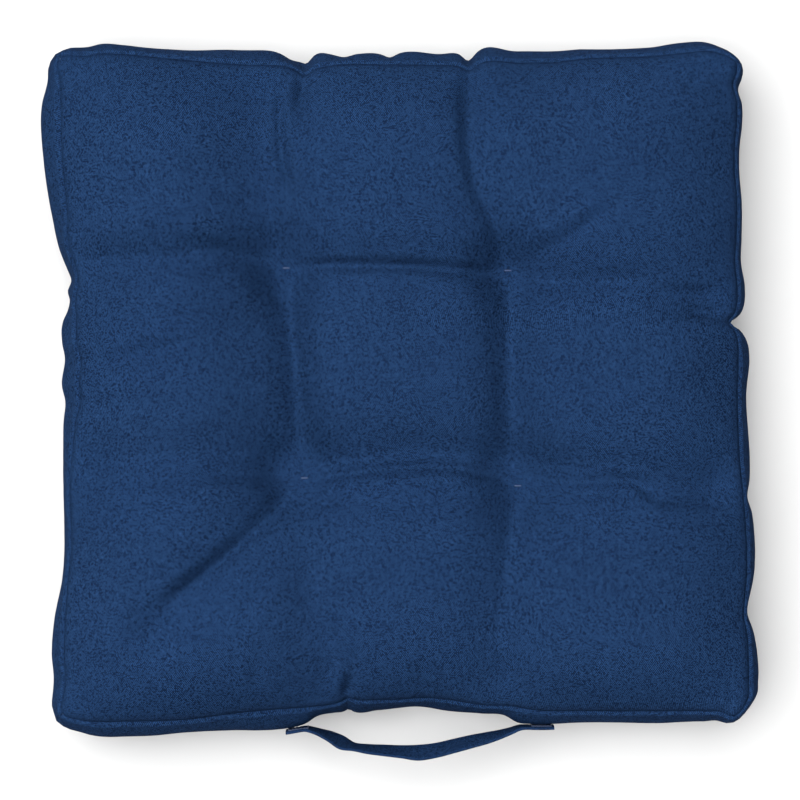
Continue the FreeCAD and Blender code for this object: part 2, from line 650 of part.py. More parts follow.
def make_handle_end(side):
    """The end sewn flat to the wall, and the stretch that leaves the wall before the strap is free."""
    sign = -1 if side == "left" else 1
    label = f"handle_end_{side}"
    body = new_body(label)
    section = body_sketch(body, label + "_section", "YZ_Plane")
    section.setExpression("AttachmentOffset.Base.z", f"{sign} * Sizes.handle_span / 2")
    centre = Vector(BULGE_RADIUS + STRAP / 2, 0, 0)
    half = S["strap_width"] / 2
    near_x = centre.x - math.sqrt(BULGE_RADIUS**2 - half**2)
    far_x = centre.x - math.sqrt((BULGE_RADIUS + STRAP) ** 2 - half**2)
    outer_corners = [Vector(far_x, half, 0), Vector(far_x, -half, 0)]
    corners = outer_corners + [Vector(near_x, -half, 0), Vector(near_x, half, 0)]
    pieces = [(arc(centre, corners[0], corners[1]), False)]
    pieces += lines(corners[1], corners[2])
    pieces.append((arc(centre, corners[3], corners[2]), True))
    pieces += lines(corners[3], corners[0])
    chain(section, pieces)
    outside, low_edge, inside, high_edge = range(4)
    rule("Coincident", section, outside, 3, inside, 3)
    rule("PointOnObject", section, outside, 3, -1)
    rule("Horizontal", section, low_edge)
    rule("Horizontal", section, high_edge)
    half_e = "Sizes.strap_width / 2"
    centre_e = f"{BULGE_RADIUS_E} + Sizes.strap_thickness / 2"
    outer_e = f"{BULGE_RADIUS_E} + Sizes.strap_thickness"
    measure("DistanceX", section, -1, 1, outside, 3, value=centre.x, expression=centre_e)
    measure("Radius", section, outside, value=BULGE_RADIUS + STRAP, expression=outer_e)
    measure("Radius", section, inside, value=BULGE_RADIUS, expression=BULGE_RADIUS_E)
    measure("DistanceY", section, -1, 1, outside, 1, value=half, expression=half_e)
    measure("DistanceY", section, outside, 2, -1, 1, value=half, expression=half_e)
    pad(body, section, cell("tab_length"), both_ways=False, reverse=sign < 0)

    plan = body_sketch(body, label + "_plan", "XY_Plane")
    start = LOOP_HALF + S["handle_clearance"]
    start_e = f"({LOOP_HALF_E} + Sizes.handle_clearance)"
    if sign > 0:
        strap_outline(plan, start, start_e, HALF_SPAN, "Sizes.handle_span / 2")
    else:
        strap_outline(plan, -HALF_SPAN, "-Sizes.handle_span / 2", -start, f"-{start_e}")
    pad(body, plan, cell("strap_width"))
    place_on_front_wall(body)
    return body


def make_tab_stitches(side):
    """Two rows of stitches that hold one end of the handle to the wall."""
    sign = -1 if side == "left" else 1
    label = f"handle_stitches_{side}"
    stitches = []
    for row in (-1, 1):
        for number in range(TAB_STITCHES):
            stitch = doc.addObject("Part::Box", f"{label}_{'inner' if row < 0 else 'outer'}_{number + 1}")
            stitch.setExpression("Length", cell("thread"))
            depth = "Sizes.strap_thickness + Sizes.tab_stitch_proud + Sizes.tab_stitch_bite"
            stitch.setExpression("Width", depth)
            stitch.setExpression("Height", cell("tab_stitch"))
            middle = f"Sizes.handle_shift + {sign} * (Sizes.handle_span + Sizes.tab_length) / 2"
            step = number - (TAB_STITCHES - 1) / 2
            face = "-(Sizes.cover_depth / 2 + Sizes.wall_bulge + Sizes.strap_thickness)"
            place(
                stitch,
                x=f"{middle} + {sign * row} * Sizes.tab_row_pitch / 2 - Sizes.thread / 2",
                y=f"{face} - Sizes.tab_stitch_proud",
                z=f"{MIDDLE_E} + {step} * Sizes.tab_stitch_pitch - Sizes.tab_stitch / 2",
            )
            stitches.append(stitch)
    group = doc.addObject("Part::Compound", label)
    group.Label = label
    group.Links = stitches
    return group


def closing_block(name):
    """Marks off the hand-closed stretch of the lower back seam."""
    block = doc.addObject("Part::Box", name)
    block.setExpression("Length", cell("closing_length"))
    block.setExpression("Width", cell("seam_allowance"))
    block.setExpression("Height", cell("seam_allowance"))
    place(
        block,
        x="-Sizes.closing_length / 2",
        y="Sizes.cover_depth / 2 - Sizes.seam_allowance",
        z=f"{LOWER_SEAM_E} - Sizes.seam_allowance / 2",
    )
    return block


outer_block = crowned_block("outer_block", 0.0, "0")
cover_inner_block = crowned_block("cover_inner_block", S["fabric"], cell("fabric"))
filling_block = crowned_block(
    "filling_block", S["fabric"] + S["filling_gap"], "(Sizes.fabric + Sizes.filling_gap)"
)

nodes = [
    make_panel("top", outer_block, cover_inner_block),
    make_panel("bottom", outer_block, cover_inner_block),
    make_wall("front_wall", "cover_width", "cover_depth", 0),
    make_wall("right_wall", "cover_depth", "cover_width", 90),
    make_wall("back_wall", "cover_width", "cover_depth", 180),
    make_wall("left_wall", "cover_depth", "cover_width", 270),
    make_filling(filling_block),
    stitch_ring("upper_seam_thread", UPPER_SEAM_E),
    cut("lower_seam_thread", stitch_ring("lower_seam_ring", LOWER_SEAM_E), closing_block("closing_gap")),
    common(
        "closing_seam_thread",
        [stitch_ring("closing_seam_ring", LOWER_SEAM_E), closing_block("closing_stretch")],
    ),
    make_loop(),
]
for tuft, (toward_x, toward_y) in TUFTS.items():
    nodes.append(make_tie(tuft, toward_x, toward_y))
    nodes.append(make_corner_thread(tuft, toward_x, toward_y))
for handle_side in ("left", "right"):
    nodes.append(make_handle_end(handle_side))
    nodes.append(make_tab_stitches(handle_side))

doc.recompute()

failed = [o.Name for o in doc.Objects if {"Invalid", "Error"} & set(o.State)]
if failed:
    raise RuntimeError(f"these objects could not be computed: {failed}")
for node in nodes:
    if node.Shape.isNull() or not node.Shape.isValid() or not node.Shape.Solids:
        raise RuntimeError(f"{node.Label} has no sound solid")

os.makedirs("parts", exist_ok=True)
for node in nodes:
    node.Shape.exportStep(f"parts/{node.Label}.step")
    box = node.Shape.BoundBox
    low = f"{box.XMin:.1f} {box.YMin:.1f} {box.ZMin:.1f}"
    high = f"{box.XMax:.1f} {box.YMax:.1f} {box.ZMax:.1f}"
    print(f"{node.Label}: {len(node.Shape.Solids)} solid(s), {node.Shape.Volume:.0f} mm3, {low} to {high}")
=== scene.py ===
import functools
import math

import bpy
import numpy as np
from bpy.props import FloatProperty, FloatVectorProperty, IntProperty, PointerProperty
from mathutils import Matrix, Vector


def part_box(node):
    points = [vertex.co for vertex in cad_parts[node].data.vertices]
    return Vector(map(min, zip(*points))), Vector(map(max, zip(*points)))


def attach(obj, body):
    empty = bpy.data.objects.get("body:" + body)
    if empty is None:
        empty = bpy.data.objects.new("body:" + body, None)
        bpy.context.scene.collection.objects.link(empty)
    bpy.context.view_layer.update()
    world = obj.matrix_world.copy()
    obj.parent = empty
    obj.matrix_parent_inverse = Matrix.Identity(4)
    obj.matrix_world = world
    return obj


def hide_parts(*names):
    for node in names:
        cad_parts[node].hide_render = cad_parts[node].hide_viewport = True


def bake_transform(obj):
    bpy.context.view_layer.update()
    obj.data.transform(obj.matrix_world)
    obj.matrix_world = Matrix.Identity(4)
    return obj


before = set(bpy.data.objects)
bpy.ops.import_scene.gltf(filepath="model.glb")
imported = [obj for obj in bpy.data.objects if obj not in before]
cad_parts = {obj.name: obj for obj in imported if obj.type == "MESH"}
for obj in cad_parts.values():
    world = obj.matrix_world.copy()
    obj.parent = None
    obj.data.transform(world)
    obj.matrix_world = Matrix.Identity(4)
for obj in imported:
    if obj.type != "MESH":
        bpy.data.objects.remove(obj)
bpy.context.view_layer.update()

bl_info = {
    "name": "Tufted floor cushion",
    "version": (1, 0, 0),
    "blender": (4, 5, 0),
    "location": "3D View > Sidebar > Cushion",
    "description": "Sews a boxed canvas floor cushion with four tufts and a carrying strap",
    "category": "Add Mesh",
}

MM = 0.001
SIDES = ("front", "right", "back", "left")

# Seam line of each side, in mm: place along the side, then how far the seam stands out
# (+) or pulls in (-) from the straight line between the corners.
UPPER_SEAM = {
    "front": ((-236, 0.5), (-220, 3.5), (-194, 3.5), (-150, 2), (-115, -2.5), (-88, -5),
              (-60, -7), (-46, -9), (-40, -11), (-36.5, -13.5), (-32, -12), (-15, -11.6), (4, -12.2),
              (15, -13), (36, -11.5), (60, -8), (78, -7.5), (95, -4.6), (130, -4), (183, -3.7),
              (218, -3.5), (229, -2.5), (236, 2)),
    "right": ((-229, 2), (-222, 7), (-208, 8.2), (-191, 8), (-173, 6.8), (-161, 4.4), (-152, 5),
              (-129, 6.8), (-103, 6.2), (-86, 5), (-76, 4.2), (-55, 2), (-24, 0.4), (0, 0),
              (21, 0.6), (36, -0.5), (42, -3), (46.7, -7), (51, -3), (58, -0.6), (72, -0.2), (89, -1.8),
              (103, -1), (135, -0.6), (155, -2.2), (172, -2), (187, -0.6), (203, -0.6),
              (214, -3.2), (223, -0.6), (229, 0.6)),
    "back": ((-236, 4), (-222, 2.6), (-213, 4.1), (-197, 3.8), (-167, 1), (-150, -0.8), (-128, -2.5),
             (-106, -3.9), (-87, -4.2), (-76, -6.3), (-71, -9), (-66.5, -11.5), (-61, -7.8), (-45, -4.2),
             (-10, -3.9), (25, -4.2), (43, -5.3), (50, -8), (55, -4.4), (86, -2.6), (113, -2),
             (130, 0.2), (148, 1), (183, 2.4), (201, 4.4), (222, 5.6), (230, 3.4), (236, 0.6)),
    "left": ((-229, 0.5), (-208, -3), (-191, -2.3), (-164, -3.3), (-138, -5), (-112, -7.6), (-96, -7.2),
             (-72, -6.5), (-42, -8.6), (-24, -10.3), (-9, -13.7), (2, -12.8), (22, -13.8), (32, -11.2),
             (48, -10.8), (64, -10.3), (74, -12.2), (83, -11), (98, -6), (124, -4.6), (163, -0.8),
             (203, 0.2), (222, 1.6), (229, 4)),
}
LOWER_SEAM = {
    "front": ((-236, 0), (-150, 1), (0, -5), (150, -1), (236, 1)),
    "right": ((-229, 1), (-150, 3), (0, -2), (120, -1), (229, 1)),
    "back": ((-236, 1), (-120, -1), (0, -4), (120, 0), (236, 1)),
    "left": ((-229, 0), (-120, -3), (0, -6), (140, -1), (229, 1)),
}
# How far the wall bulges past its upper seam at mid height, in mm, at places along the side.
WALL_BULGE = {
    "front": ((-236, 11), (-217, 13), (-184, 13.5), (-150, 12), (-118, 15), (-100, 17), (-89, 17.5),
              (-75, 16.5), (-66, 14), (-60, 10.5), (-46, 9.5), (-36, 12), (-15, 10.5), (6, 9), (36, 11),
              (60, 9), (76, 10), (84, 13.5), (95, 13), (112, 12), (147, 11), (183, 11.5), (211, 10.5),
              (227, 9), (236, 7)),
    "right": ((-229, 7), (-219, 8.5), (-186, 8.5), (-170, 6.2), (-160, 5), (-137, 7.5), (-104, 8.4),
              (-88, 7.4), (-78, 5), (-66, 8), (-5, 9), (30, 10), (39, 8), (47, 5), (54, 7), (64, 8),
              (100, 6.5), (150, 6.2), (200, 6.6), (229, 7)),
    "back": ((-236, 7), (-217, 9.5), (-184, 8.5), (-151, 10), (-118, 13), (-85, 11.5), (-77, 8.5), (-70, 11),
             (-60, 14), (-48, 11), (-40, 8), (-30, 10), (-12, 10), (-7, 8), (0, 11), (30, 11), (44, 12),
             (50, 10.5), (58, 12.5), (79, 11.5), (110, 11), (145, 9), (178, 9), (203, 10), (227, 8),
             (236, 7)),
    "left": ((-229, 9), (-208, 11), (-164, 10.5), (-138, 7), (-112, 8), (-72, 7.5), (-41, 10), (-24, 11.5),
             (2, 15.5), (32, 13.5), (48, 12.5), (57, 8), (63, 7), (70, 10), (78, 8), (84, 9), (98, 9.5),
             (124, 14), (163, 16), (204, 16), (220, 11), (229, 8)),
}
# The four tufts, in mm.
TUFTS = {
    "back_left": (-79.5, 84.8),
    "back_right": (77.0, 83.0),
    "front_left": (-66.5, -63.8),
    "front_right": (84.0, -69.2),
}
# Pulled folds of the top panel: the line each follows, its depth and its half width, in mm.
FOLDS = (
    (((-86, 222), (-84, 187), (-82.6, 166), (-78.5, 147), (-77.5, 120)), 2.8, 3.0),
    (((-79, 85.5), (-35, 85.8), (0, 85.4), (40, 83), (77, 82)), 3.0, 3.0),
    (((16, 79.5), (45, 77.5), (75, 80)), 1.5, 3.4),
    (((-82, 87), (-112, 93), (-158, 102)), 2.2, 5.0),
    (((-84, 84.5), (-125, 84), (-176, 84)), 1.3, 5.0),
    (((-79, 82), (-74, 40), (-70, 0), (-67, -35), (-66.5, -62)), 3.4, 8.0),
    (((76, 86), (72, 100), (51, 150), (44, 216)), 1.5, 4.0),
    (((74, 176), (66, 202), (52, 226)), 1.8, 3.6),
    (((79, 84), (131, 114), (156, 139)), 2.1, 4.6),
    (((82, 80), (99, 72), (188, 79)), 1.1, 5.0),
    (((160, 67), (200, 66), (234, 67)), 2.0, 3.6),
    (((160, 57), (200, 56), (234, 48)), 2.6, 3.6),
    (((77, 80), (80, 30), (83, -20), (84, -67)), 2.0, 10.0),
    (((-67, -65), (-20, -58.5), (24, -55.5), (60, -60), (84, -68)), 3.0, 3.0),
    (((-52, -74), (6, -84), (68, -76)), 1.3, 4.0),
    (((84, -66), (130, -66), (164, -66), (185, -79), (242, -80)), 2.6, 3.0),
    (((86, -73), (140, -75), (180, -73)), 1.3, 3.4),
    (((84, -71), (104, -92), (124, -111)), 1.8, 4.0),
    (((83, -72), (79, -120), (77, -180)), 1.5, 6.0),
    (((-67, -64), (-136, -60), (-206, -76)), 2.2, 4.6),
    (((-130, -62), (-190, -90), (-226, -108)), 1.3, 6.0),
    (((-68, -67), (-111, -110), (-174, -159)), 2.9, 4.6),
    (((-78, -108), (-126, -186)), 1.1, 6.0),
    (((-47, -146), (-47, -212)), 1.5, 5.0),
    (((-101, -216), (-99, -186)), 1.3, 4.0),
    (((17, -216), (15, -186)), 1.3, 4.0),
    (((78, -216), (76, -184)), 1.3, 4.0),
    (((-226, 14), (-180, 25), (-132, 35)), 1.8, 3.8),
    (((-226, 4), (-190, 9), (-160, 16)), 1.1, 3.6),
    (((-66, 222), (-69, 208), (-72, 190)), 2.2, 3.6),
    (((-36.5, -226), (-36.5, -214), (-36, -198)), 4.2, 3.2),
    (((214, 226), (206, 214), (196, 210)), 1.8, 3.0),
)
# Broad valleys between the tufts and from the tufts to the seams, written like the folds.
VALLEYS = (
    (((-84, 88), (-30, 86), (30, 84), (84, 82)), 5.0, 13.0),
    (((-90, 98), (-90, 40), (-86, 0), (-82, -40), (-74, -76)), 7.5, 30.0),
    (((-82, 92), (-77, 40), (-73, 0), (-71, -40), (-68, -70)), 5.0, 12.0),
    (((80, 92), (77, 50), (76, 0), (80, -40), (86, -76)), 8.0, 17.0),
    (((-76, -60), (-20, -52), (24, -49), (60, -53), (90, -64)), 7.5, 21.0),
    (((-82, 78), (-92, 120), (-96, 160), (-94, 204), (-94, 232)), 8.0, 34.0),
    (((80, 76), (70, 110), (58, 150), (50, 204), (48, 232)), 5.0, 15.0),
    (((-72, 88), (-120, 94), (-180, 92), (-240, 90)), 5.0, 13.0),
    (((70, 80), (120, 76), (180, 70), (240, 58)), 5.0, 17.0),
    (((-60, -60), (-120, -52), (-180, -50), (-240, -60)), 7.0, 24.0),
    (((78, -62), (130, -60), (180, -66), (246, -72)), 6.5, 19.0),
    (((-66, -58), (-66, -110), (-58, -160), (-46, -230)), 5.0, 22.0),
    (((84, -62), (76, -110), (70, -160), (72, -230)), 6.0, 20.0),
    (((-62, -58), (-110, -104), (-150, -150), (-196, -190)), 6.0, 17.0),
)
FOLD_STRENGTH, FOLD_RIDGE = 1.7, 0.28
VALLEY_STRENGTH, VALLEY_RIDGE = 2.1, 0.1
LONGEST_FADE = 32.0  # over which a fold fades at each end, in mm

# Metres from here on.
SEAM_SHIFT = 1.8 * MM  # by which the upper seam stands further out than its table
BULGE_SHIFT = 0.8 * MM  # by which the wall stands further in than its table
PULL_TOP, PULL_BOTTOM = 0.027, 0.026  # reach of a tuft
LOW_TUFT = 0.012  # height of a tuft above the lower seam
TUFT_HOLD = 0.0042  # radius round a tuft that the thread holds fast
CUT_BULGE, START_BULGE = 0.010, 0.008  # of the wall at mid height, as it is cut and as it starts
CLOTH_TRAVEL = 0.022  # furthest that the simulation may move a point
RIM_FADE = 0.008  # over which a move of the rim dies away in a panel
KEPT, KEPT_ROUNDING = 0.002, 0.004  # how far folds reach below the upper seam, and how softly they stop
FLOOR_GAP, FLOOR_ROUNDING = 0.0004, 0.0008  # the same for the underside above the floor
# How far each row of the seam allowance lies inwards and past the seam, for a panel and for a wall.
PANEL_TURNS = (0.0003, 0.0011), (0.0012, 0.0060)
WALL_TURNS = (0.0010, 0.0003), (0.0060, 0.0008)
THREAD_INSET = 0.0024  # seam threads behind the seam line
WARP, WEFT = 0.000715, 0.00107  # size of one crossing in the canvas


def linear(value):
    """Turns an sRGB hex colour such as "1F3559" into linear red, green and blue."""
    channels = np.array([int(value[i:i + 2], 16) for i in (0, 2, 4)]) / 255
    return tuple(np.where(channels <= 0.04045, channels / 12.92, ((channels + 0.055) / 1.055) ** 2.4))


class CoverSizes(bpy.types.PropertyGroup):
    """Sizes of the sewn cover."""

    width: FloatProperty(name="Width", description="From side seam to side seam", unit="LENGTH",
                         default=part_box("top_panel")[1].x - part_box("top_panel")[0].x)
    depth: FloatProperty(name="Depth", description="From front seam to back seam", unit="LENGTH",
                         default=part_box("top_panel")[1].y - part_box("top_panel")[0].y)
    upper_seam: FloatProperty(name="Upper seam", description="Height of the upper seam", unit="LENGTH",
                              default=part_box("front_wall")[1].z - 0.009)
    lower_seam: FloatProperty(name="Lower seam", description="Height of the lower seam", unit="LENGTH",
                              default=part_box("front_wall")[0].z)
    corner_radius: FloatProperty(name="Corner radius", description="Radius of the seam at each corner",
                                 unit="LENGTH", default=0.007)
    crown: FloatProperty(name="Crown", description="How far the top panel stands above its seam",
                         unit="LENGTH", default=0.039)
    side_run: FloatProperty(name="Side run", description="Width of the rounded border at the left and right",
                            unit="LENGTH", default=0.090)
    end_run: FloatProperty(name="End run", description="Width of the rounded border at the front and back",
                           unit="LENGTH", default=0.066)
    sole: FloatProperty(name="Sole", description="How far the bottom panel hangs below its seam",
                        unit="LENGTH", default=0.012)
    tuft_height: FloatProperty(name="Tuft height", description="How far a tuft lies above the upper seam",
                               unit="LENGTH", default=0.006)
    slack: FloatProperty(name="Slack", description="Share by which the cloth is cut larger than the filling",
                         default=0.012)
    pressure: FloatProperty(name="Pressure", description="Push of the filling on the cloth", default=4.0)
    cell: FloatProperty(name="Cloth cell", description="Grid spacing of the simulated cloth", unit="LENGTH",
                        default=0.0044)
    cloth: FloatProperty(name="Cloth thickness", description="Thickness of the canvas", unit="LENGTH",
                         default=0.0007)
    refinement: IntProperty(name="Refinement", description="Finished cells for each simulated cell",
                            default=2)


class StrapSizes(bpy.types.PropertyGroup):
    """Sizes of the carrying strap and of the sewing threads."""

    width: FloatProperty(name="Width", description="Width of the strap", unit="LENGTH",
                         default=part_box("handle_loop")[1].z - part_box("handle_loop")[0].z)
    thickness: FloatProperty(name="Thickness", description="Thickness of the folded strap", unit="LENGTH",
                             default=0.0028)
    middle: FloatProperty(name="Middle height", description="Height of the strap's centre line",
                          unit="LENGTH",
                          default=(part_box("handle_loop")[1].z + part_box("handle_loop")[0].z) / 2)
    thread: FloatProperty(name="Thread", description="Diameter of the sewing thread", unit="LENGTH",
                          default=0.0008)
    stitch: FloatProperty(name="Stitch", description="Length of one stitch", unit="LENGTH", default=0.0036)


class Finishes(bpy.types.PropertyGroup):
    """Colours of the canvas, the strap, the threads and the stage."""

    canvas: FloatVectorProperty(name="Canvas", description="Middle colour of the canvas", subtype="COLOR",
                                default=linear("0F1F37"))
    # Light end of the canvas ramp: painted highlight on the thread tops, which the lighter yarns reach too.
    canvas_lit_tops: FloatVectorProperty(name="Canvas highlights", description="Colour of the thread tops, with painted highlight",
                                      subtype="COLOR", default=linear("20385B"))
    # Dark end of the canvas ramp: painted shade between the threads, which the darker yarns reach too.
    canvas_shaded_gaps: FloatVectorProperty(name="Canvas gaps", description="Colour between the threads",
                                     subtype="COLOR", default=linear("091428"))
    thread: FloatVectorProperty(name="Thread", description="Colour of the sewing thread", subtype="COLOR",
                                default=linear("1E3459"))
    filling: FloatVectorProperty(name="Filling", description="Colour of the fibre filling", subtype="COLOR",
                                 default=linear("E9E6DF"))
    floor: FloatVectorProperty(name="Floor", description="Colour of the studio floor", subtype="COLOR",
                               default=linear("BABABA"))


def flow(stations, at):
    """Smooth line through (place, value) stations: between two stations a cubic, whose slope at
    each station is the slope between its neighbours."""
    place, value = np.array(stations, float).T
    slope = np.gradient(value, place)
    at = np.clip(at, place[0], place[-1])
    i = np.clip(np.searchsorted(place, at) - 1, 0, len(place) - 2)
    gap = place[i + 1] - place[i]
    t = (at - place[i]) / gap
    return ((2 * t**3 - 3 * t**2 + 1) * value[i] + (t**3 - 2 * t**2 + t) * gap * slope[i]
            + (3 * t**2 - 2 * t**3) * value[i + 1] + (t**3 - t**2) * gap * slope[i + 1])


def ease(t):
    """Rises smoothly from 0 to 1 as t goes from 0 to 1: 3 t squared less 2 t cubed."""
    t = np.clip(t, 0, 1)
    return t * t * (3 - 2 * t)


def outline(cells, sizes):
    """Rectangle with round corners, once round from the front left corner, as the points' place
    along their side, their plan and their outward direction. Each side is half an arc, a straight
    run and half an arc, spaced evenly by length."""
    width, depth = sizes.width, sizes.depth
    spans = ((width, depth, (1, 0), (0, -1)), (depth, width, (0, 1), (1, 0)),
             (width, depth, (-1, 0), (0, 1)), (depth, width, (0, -1), (-1, 0)))
    radius = sizes.corner_radius
    quarter = radius * math.pi / 4
    plans, outs = [], []
    for (span, across, along, out), count in zip(spans, (*cells, *cells)):
        run = span - 2 * radius
        s = np.arange(count) / count * (run + 2 * quarter)
        first = np.clip((quarter - s) / radius, 0, None)
        last = np.clip((s - run - quarter) / radius, 0, None)
        t = -run / 2 + np.clip(s - quarter, 0, run) - radius * np.sin(first) + radius * np.sin(last)
        n = across / 2 - radius + radius * np.cos(first + last)
        along, out = np.array(along, float), np.array(out, float)
        plans.append(t[:, None] * along + n[:, None] * out)
        outs.append(np.sin(last - first)[:, None] * along + np.cos(first + last)[:, None] * out)
    return plans, outs


def by_side(table, plans):
    """Value of a table of stations at each point of the outline, side after side, in metres. Places
    run along X on the front and back and along Y on the left and right."""
    return np.concatenate([flow(table[side], plan[:, i % 2] / MM) * MM
                           for i, (side, plan) in enumerate(zip(SIDES, plans))])


def seams(cells, sizes):
    """Upper and lower seam lines, outward directions, how far the wall reaches out and the plain
    outline: the outline moved outwards by the seam tables, the upper one sinking by a quarter of
    what it pulls in."""
    plans, outs = outline(cells, sizes)
    plan, out = np.concatenate(plans), np.concatenate(outs)
    above, below = by_side(UPPER_SEAM, plans) + SEAM_SHIFT, by_side(LOWER_SEAM, plans)
    upper = np.column_stack((plan + out * above[:, None], sizes.upper_seam + 0.25 * np.minimum(above, 0)))
    lower = np.column_stack((plan + out * below[:, None], np.full(len(plan), sizes.lower_seam)))
    bulge = by_side(WALL_BULGE, plans) - BULGE_SHIFT
    return upper, lower, np.column_stack((out, np.zeros(len(out)))), above + bulge, plan


def rim_sides(rim, cells):
    """Front, right, back and left rows of a closed rim, each in the direction of X or Y."""
    nx, ny = cells
    left = np.concatenate((rim[2 * nx + ny:], rim[:1]))
    return rim[:nx + 1], rim[nx:nx + ny + 1], rim[nx + ny:2 * nx + ny + 1][::-1], left[::-1]


def patch(rim, cells):
    """Surface inside a closed rim: the two ruled surfaces between opposite sides, added, less the
    one between the four corners."""
    front, right, back, left = rim_sides(rim, cells)
    u = np.linspace(0, 1, cells[0] + 1)[:, None, None]
    v = np.linspace(0, 1, cells[1] + 1)[None, :, None]
    corners = ((1 - u) * (1 - v) * front[0] + u * (1 - v) * front[-1]
               + (1 - u) * v * back[0] + u * v * back[-1])
    return (1 - v) * front[:, None] + v * back[:, None] + (1 - u) * left[None] + u * right[None] - corners


def rim_slots(cells):
    """Row and column of each rim point in its panel, once round from the front left corner."""
    nx, ny = cells
    i = np.concatenate((np.arange(nx), np.full(ny, nx), np.arange(nx, 0, -1), np.zeros(ny, int)))
    j = np.concatenate((np.zeros(nx, int), np.arange(ny), np.full(nx, ny), np.arange(ny, 0, -1)))
    return i, j


def tuft_pull(points, reach):
    """How strongly a tuft draws a point, from 1 on the tuft to 0 far off: the sum over the tufts of
    1 / (1 + (distance / reach) squared) squared."""
    pull = np.zeros(points.shape[:-1])
    for x, y in TUFTS.values():
        gap = np.hypot(points[..., 0] - x * MM, points[..., 1] - y * MM)
        pull = pull + 1 / (1 + (gap / reach) ** 2) ** 2
    return np.minimum(pull, 1)


def to_edge(count):
    """Number of cells from each point of a row to the nearer end of the row."""
    return np.minimum(np.arange(count + 1), np.arange(count, -1, -1))


def dome(cells, sizes):
    """Height share over a panel: from each side the arc of a circle that rises to the crown and is
    level at the end of its run, and the product of both directions."""
    shares = []
    for count, span, run in ((cells[0], sizes.width, sizes.side_run), (cells[1], sizes.depth, sizes.end_run)):
        gap = to_edge(count) * span / count
        radius = (run**2 + sizes.crown**2) / (2 * sizes.crown)
        left = run - np.clip(gap, 0, run)
        shares.append(1 - (radius - np.sqrt(radius**2 - left**2)) / sizes.crown)
    return shares[0][:, None] * shares[1][None, :]


def joined_net(cells, rows):
    """Vertex numbers of the walls, the top and the bottom when they share their seams, and the
    quads of the closed cover, all facing out."""
    nx, ny = cells
    count = 2 * (nx + ny)
    wall = np.arange(count * (rows + 1)).reshape(count, rows + 1)
    inner = (nx - 1) * (ny - 1)
    top = np.zeros((nx + 1, ny + 1), int)
    bottom = top.copy()
    top[1:-1, 1:-1] = wall.size + np.arange(inner).reshape(nx - 1, ny - 1)
    bottom[1:-1, 1:-1] = wall.size + inner + np.arange(inner).reshape(nx - 1, ny - 1)
    top[rim_slots(cells)] = wall[:, 0]
    bottom[rim_slots(cells)] = wall[:, -1]
    quads = np.concatenate((grid_quads(top), grid_quads(bottom)[:, ::-1],
                            grid_quads(np.concatenate((wall, wall[:1])))[:, ::-1]))
    return wall, top, bottom, quads


def grid_quads(numbers):
    """Quads of a grid of vertex numbers, facing up where the first direction runs along X and the
    second along Y."""
    corners = numbers[:-1, :-1], numbers[1:, :-1], numbers[1:, 1:], numbers[:-1, 1:]
    return np.stack(corners, -1).reshape(-1, 4)


def mesh_of(name, points, quads, uv=None):
    """Smooth-shaded mesh from arrays of points and of one UV pair for each point, and from quads."""
    mesh = bpy.data.meshes.new(name)
    mesh.from_pydata(points.reshape(-1, 3), [], quads)
    mesh.polygons.foreach_set("use_smooth", np.ones(len(mesh.polygons), bool))
    if uv is not None:
        corner = np.zeros(len(mesh.loops), np.int32)
        mesh.loops.foreach_get("vertex_index", corner)
        mesh.uv_layers.new(name="cut").data.foreach_set("uv", uv.reshape(-1, 2)[corner].ravel())
    mesh.validate()
    return mesh


def new_piece(name, mesh):
    """Object that shows a mesh, in the scene."""
    piece = bpy.data.objects.new(name, mesh)
    bpy.context.scene.collection.objects.link(piece)
    return piece


def skin(name, rings, closed=False, uv=None):
    """Closed piece through rings of points: the two end rings are filled in, or the last ring is
    joined to the first."""
    count, sides = rings.shape[:2]
    numbers = np.arange(count * sides).reshape(count, sides)
    wrapped = np.concatenate((numbers, numbers[:, :1]), 1)
    if closed:
        wrapped = np.concatenate((wrapped, wrapped[:1]))
    quads = grid_quads(wrapped)[:, ::-1].tolist()
    if not closed:
        quads += [numbers[0].tolist(), numbers[-1, ::-1].tolist()]
    return new_piece(name, mesh_of(name, rings, quads, uv))


def settle(start, cut, quads, held, sizes, frames, travel):
    """Cloth simulation of the closed cover: held points stay, the rest is pushed out by the filling
    and keeps the lengths of its cut. No point ends further from its start than travel."""
    cover = new_piece("cover_in_work", mesh_of("cover_in_work", start, quads))
    cover.shape_key_add(name="start")
    flat = cover.shape_key_add(name="cut")
    flat.data.foreach_set("co", cut.ravel())
    cover.vertex_groups.new(name="sewn").add(held.tolist(), 1.0, "REPLACE")
    cloth = cover.modifiers.new("cloth", "CLOTH")
    settings = cloth.settings
    settings.quality = 6
    settings.mass = 0.15
    settings.tension_stiffness = settings.compression_stiffness = 25
    settings.shear_stiffness = 12
    settings.bending_stiffness = 1.2
    settings.tension_damping = settings.compression_damping = 12
    settings.air_damping = 2
    settings.vertex_group_mass = "sewn"
    settings.rest_shape_key = flat
    settings.use_pressure = True
    settings.uniform_pressure_force = sizes.pressure
    settings.effector_weights.gravity = 0
    cloth.collision_settings.use_collision = False
    cloth.point_cache.frame_start = 1
    cloth.point_cache.frame_end = frames
    scene = bpy.context.scene
    for number in range(1, frames + 1):
        scene.frame_set(number)
    moved = np.empty(start.size, np.float32)
    evaluated = cover.evaluated_get(bpy.context.evaluated_depsgraph_get())
    evaluated.data.vertices.foreach_get("co", moved)
    scene.frame_set(1)
    mesh = cover.data
    bpy.data.objects.remove(cover)
    bpy.data.meshes.remove(mesh)
    step = moved.reshape(-1, 3) - start
    length = np.linalg.norm(step, axis=1, keepdims=True)
    return start + step * np.minimum(1, travel / np.maximum(length, 1e-9))


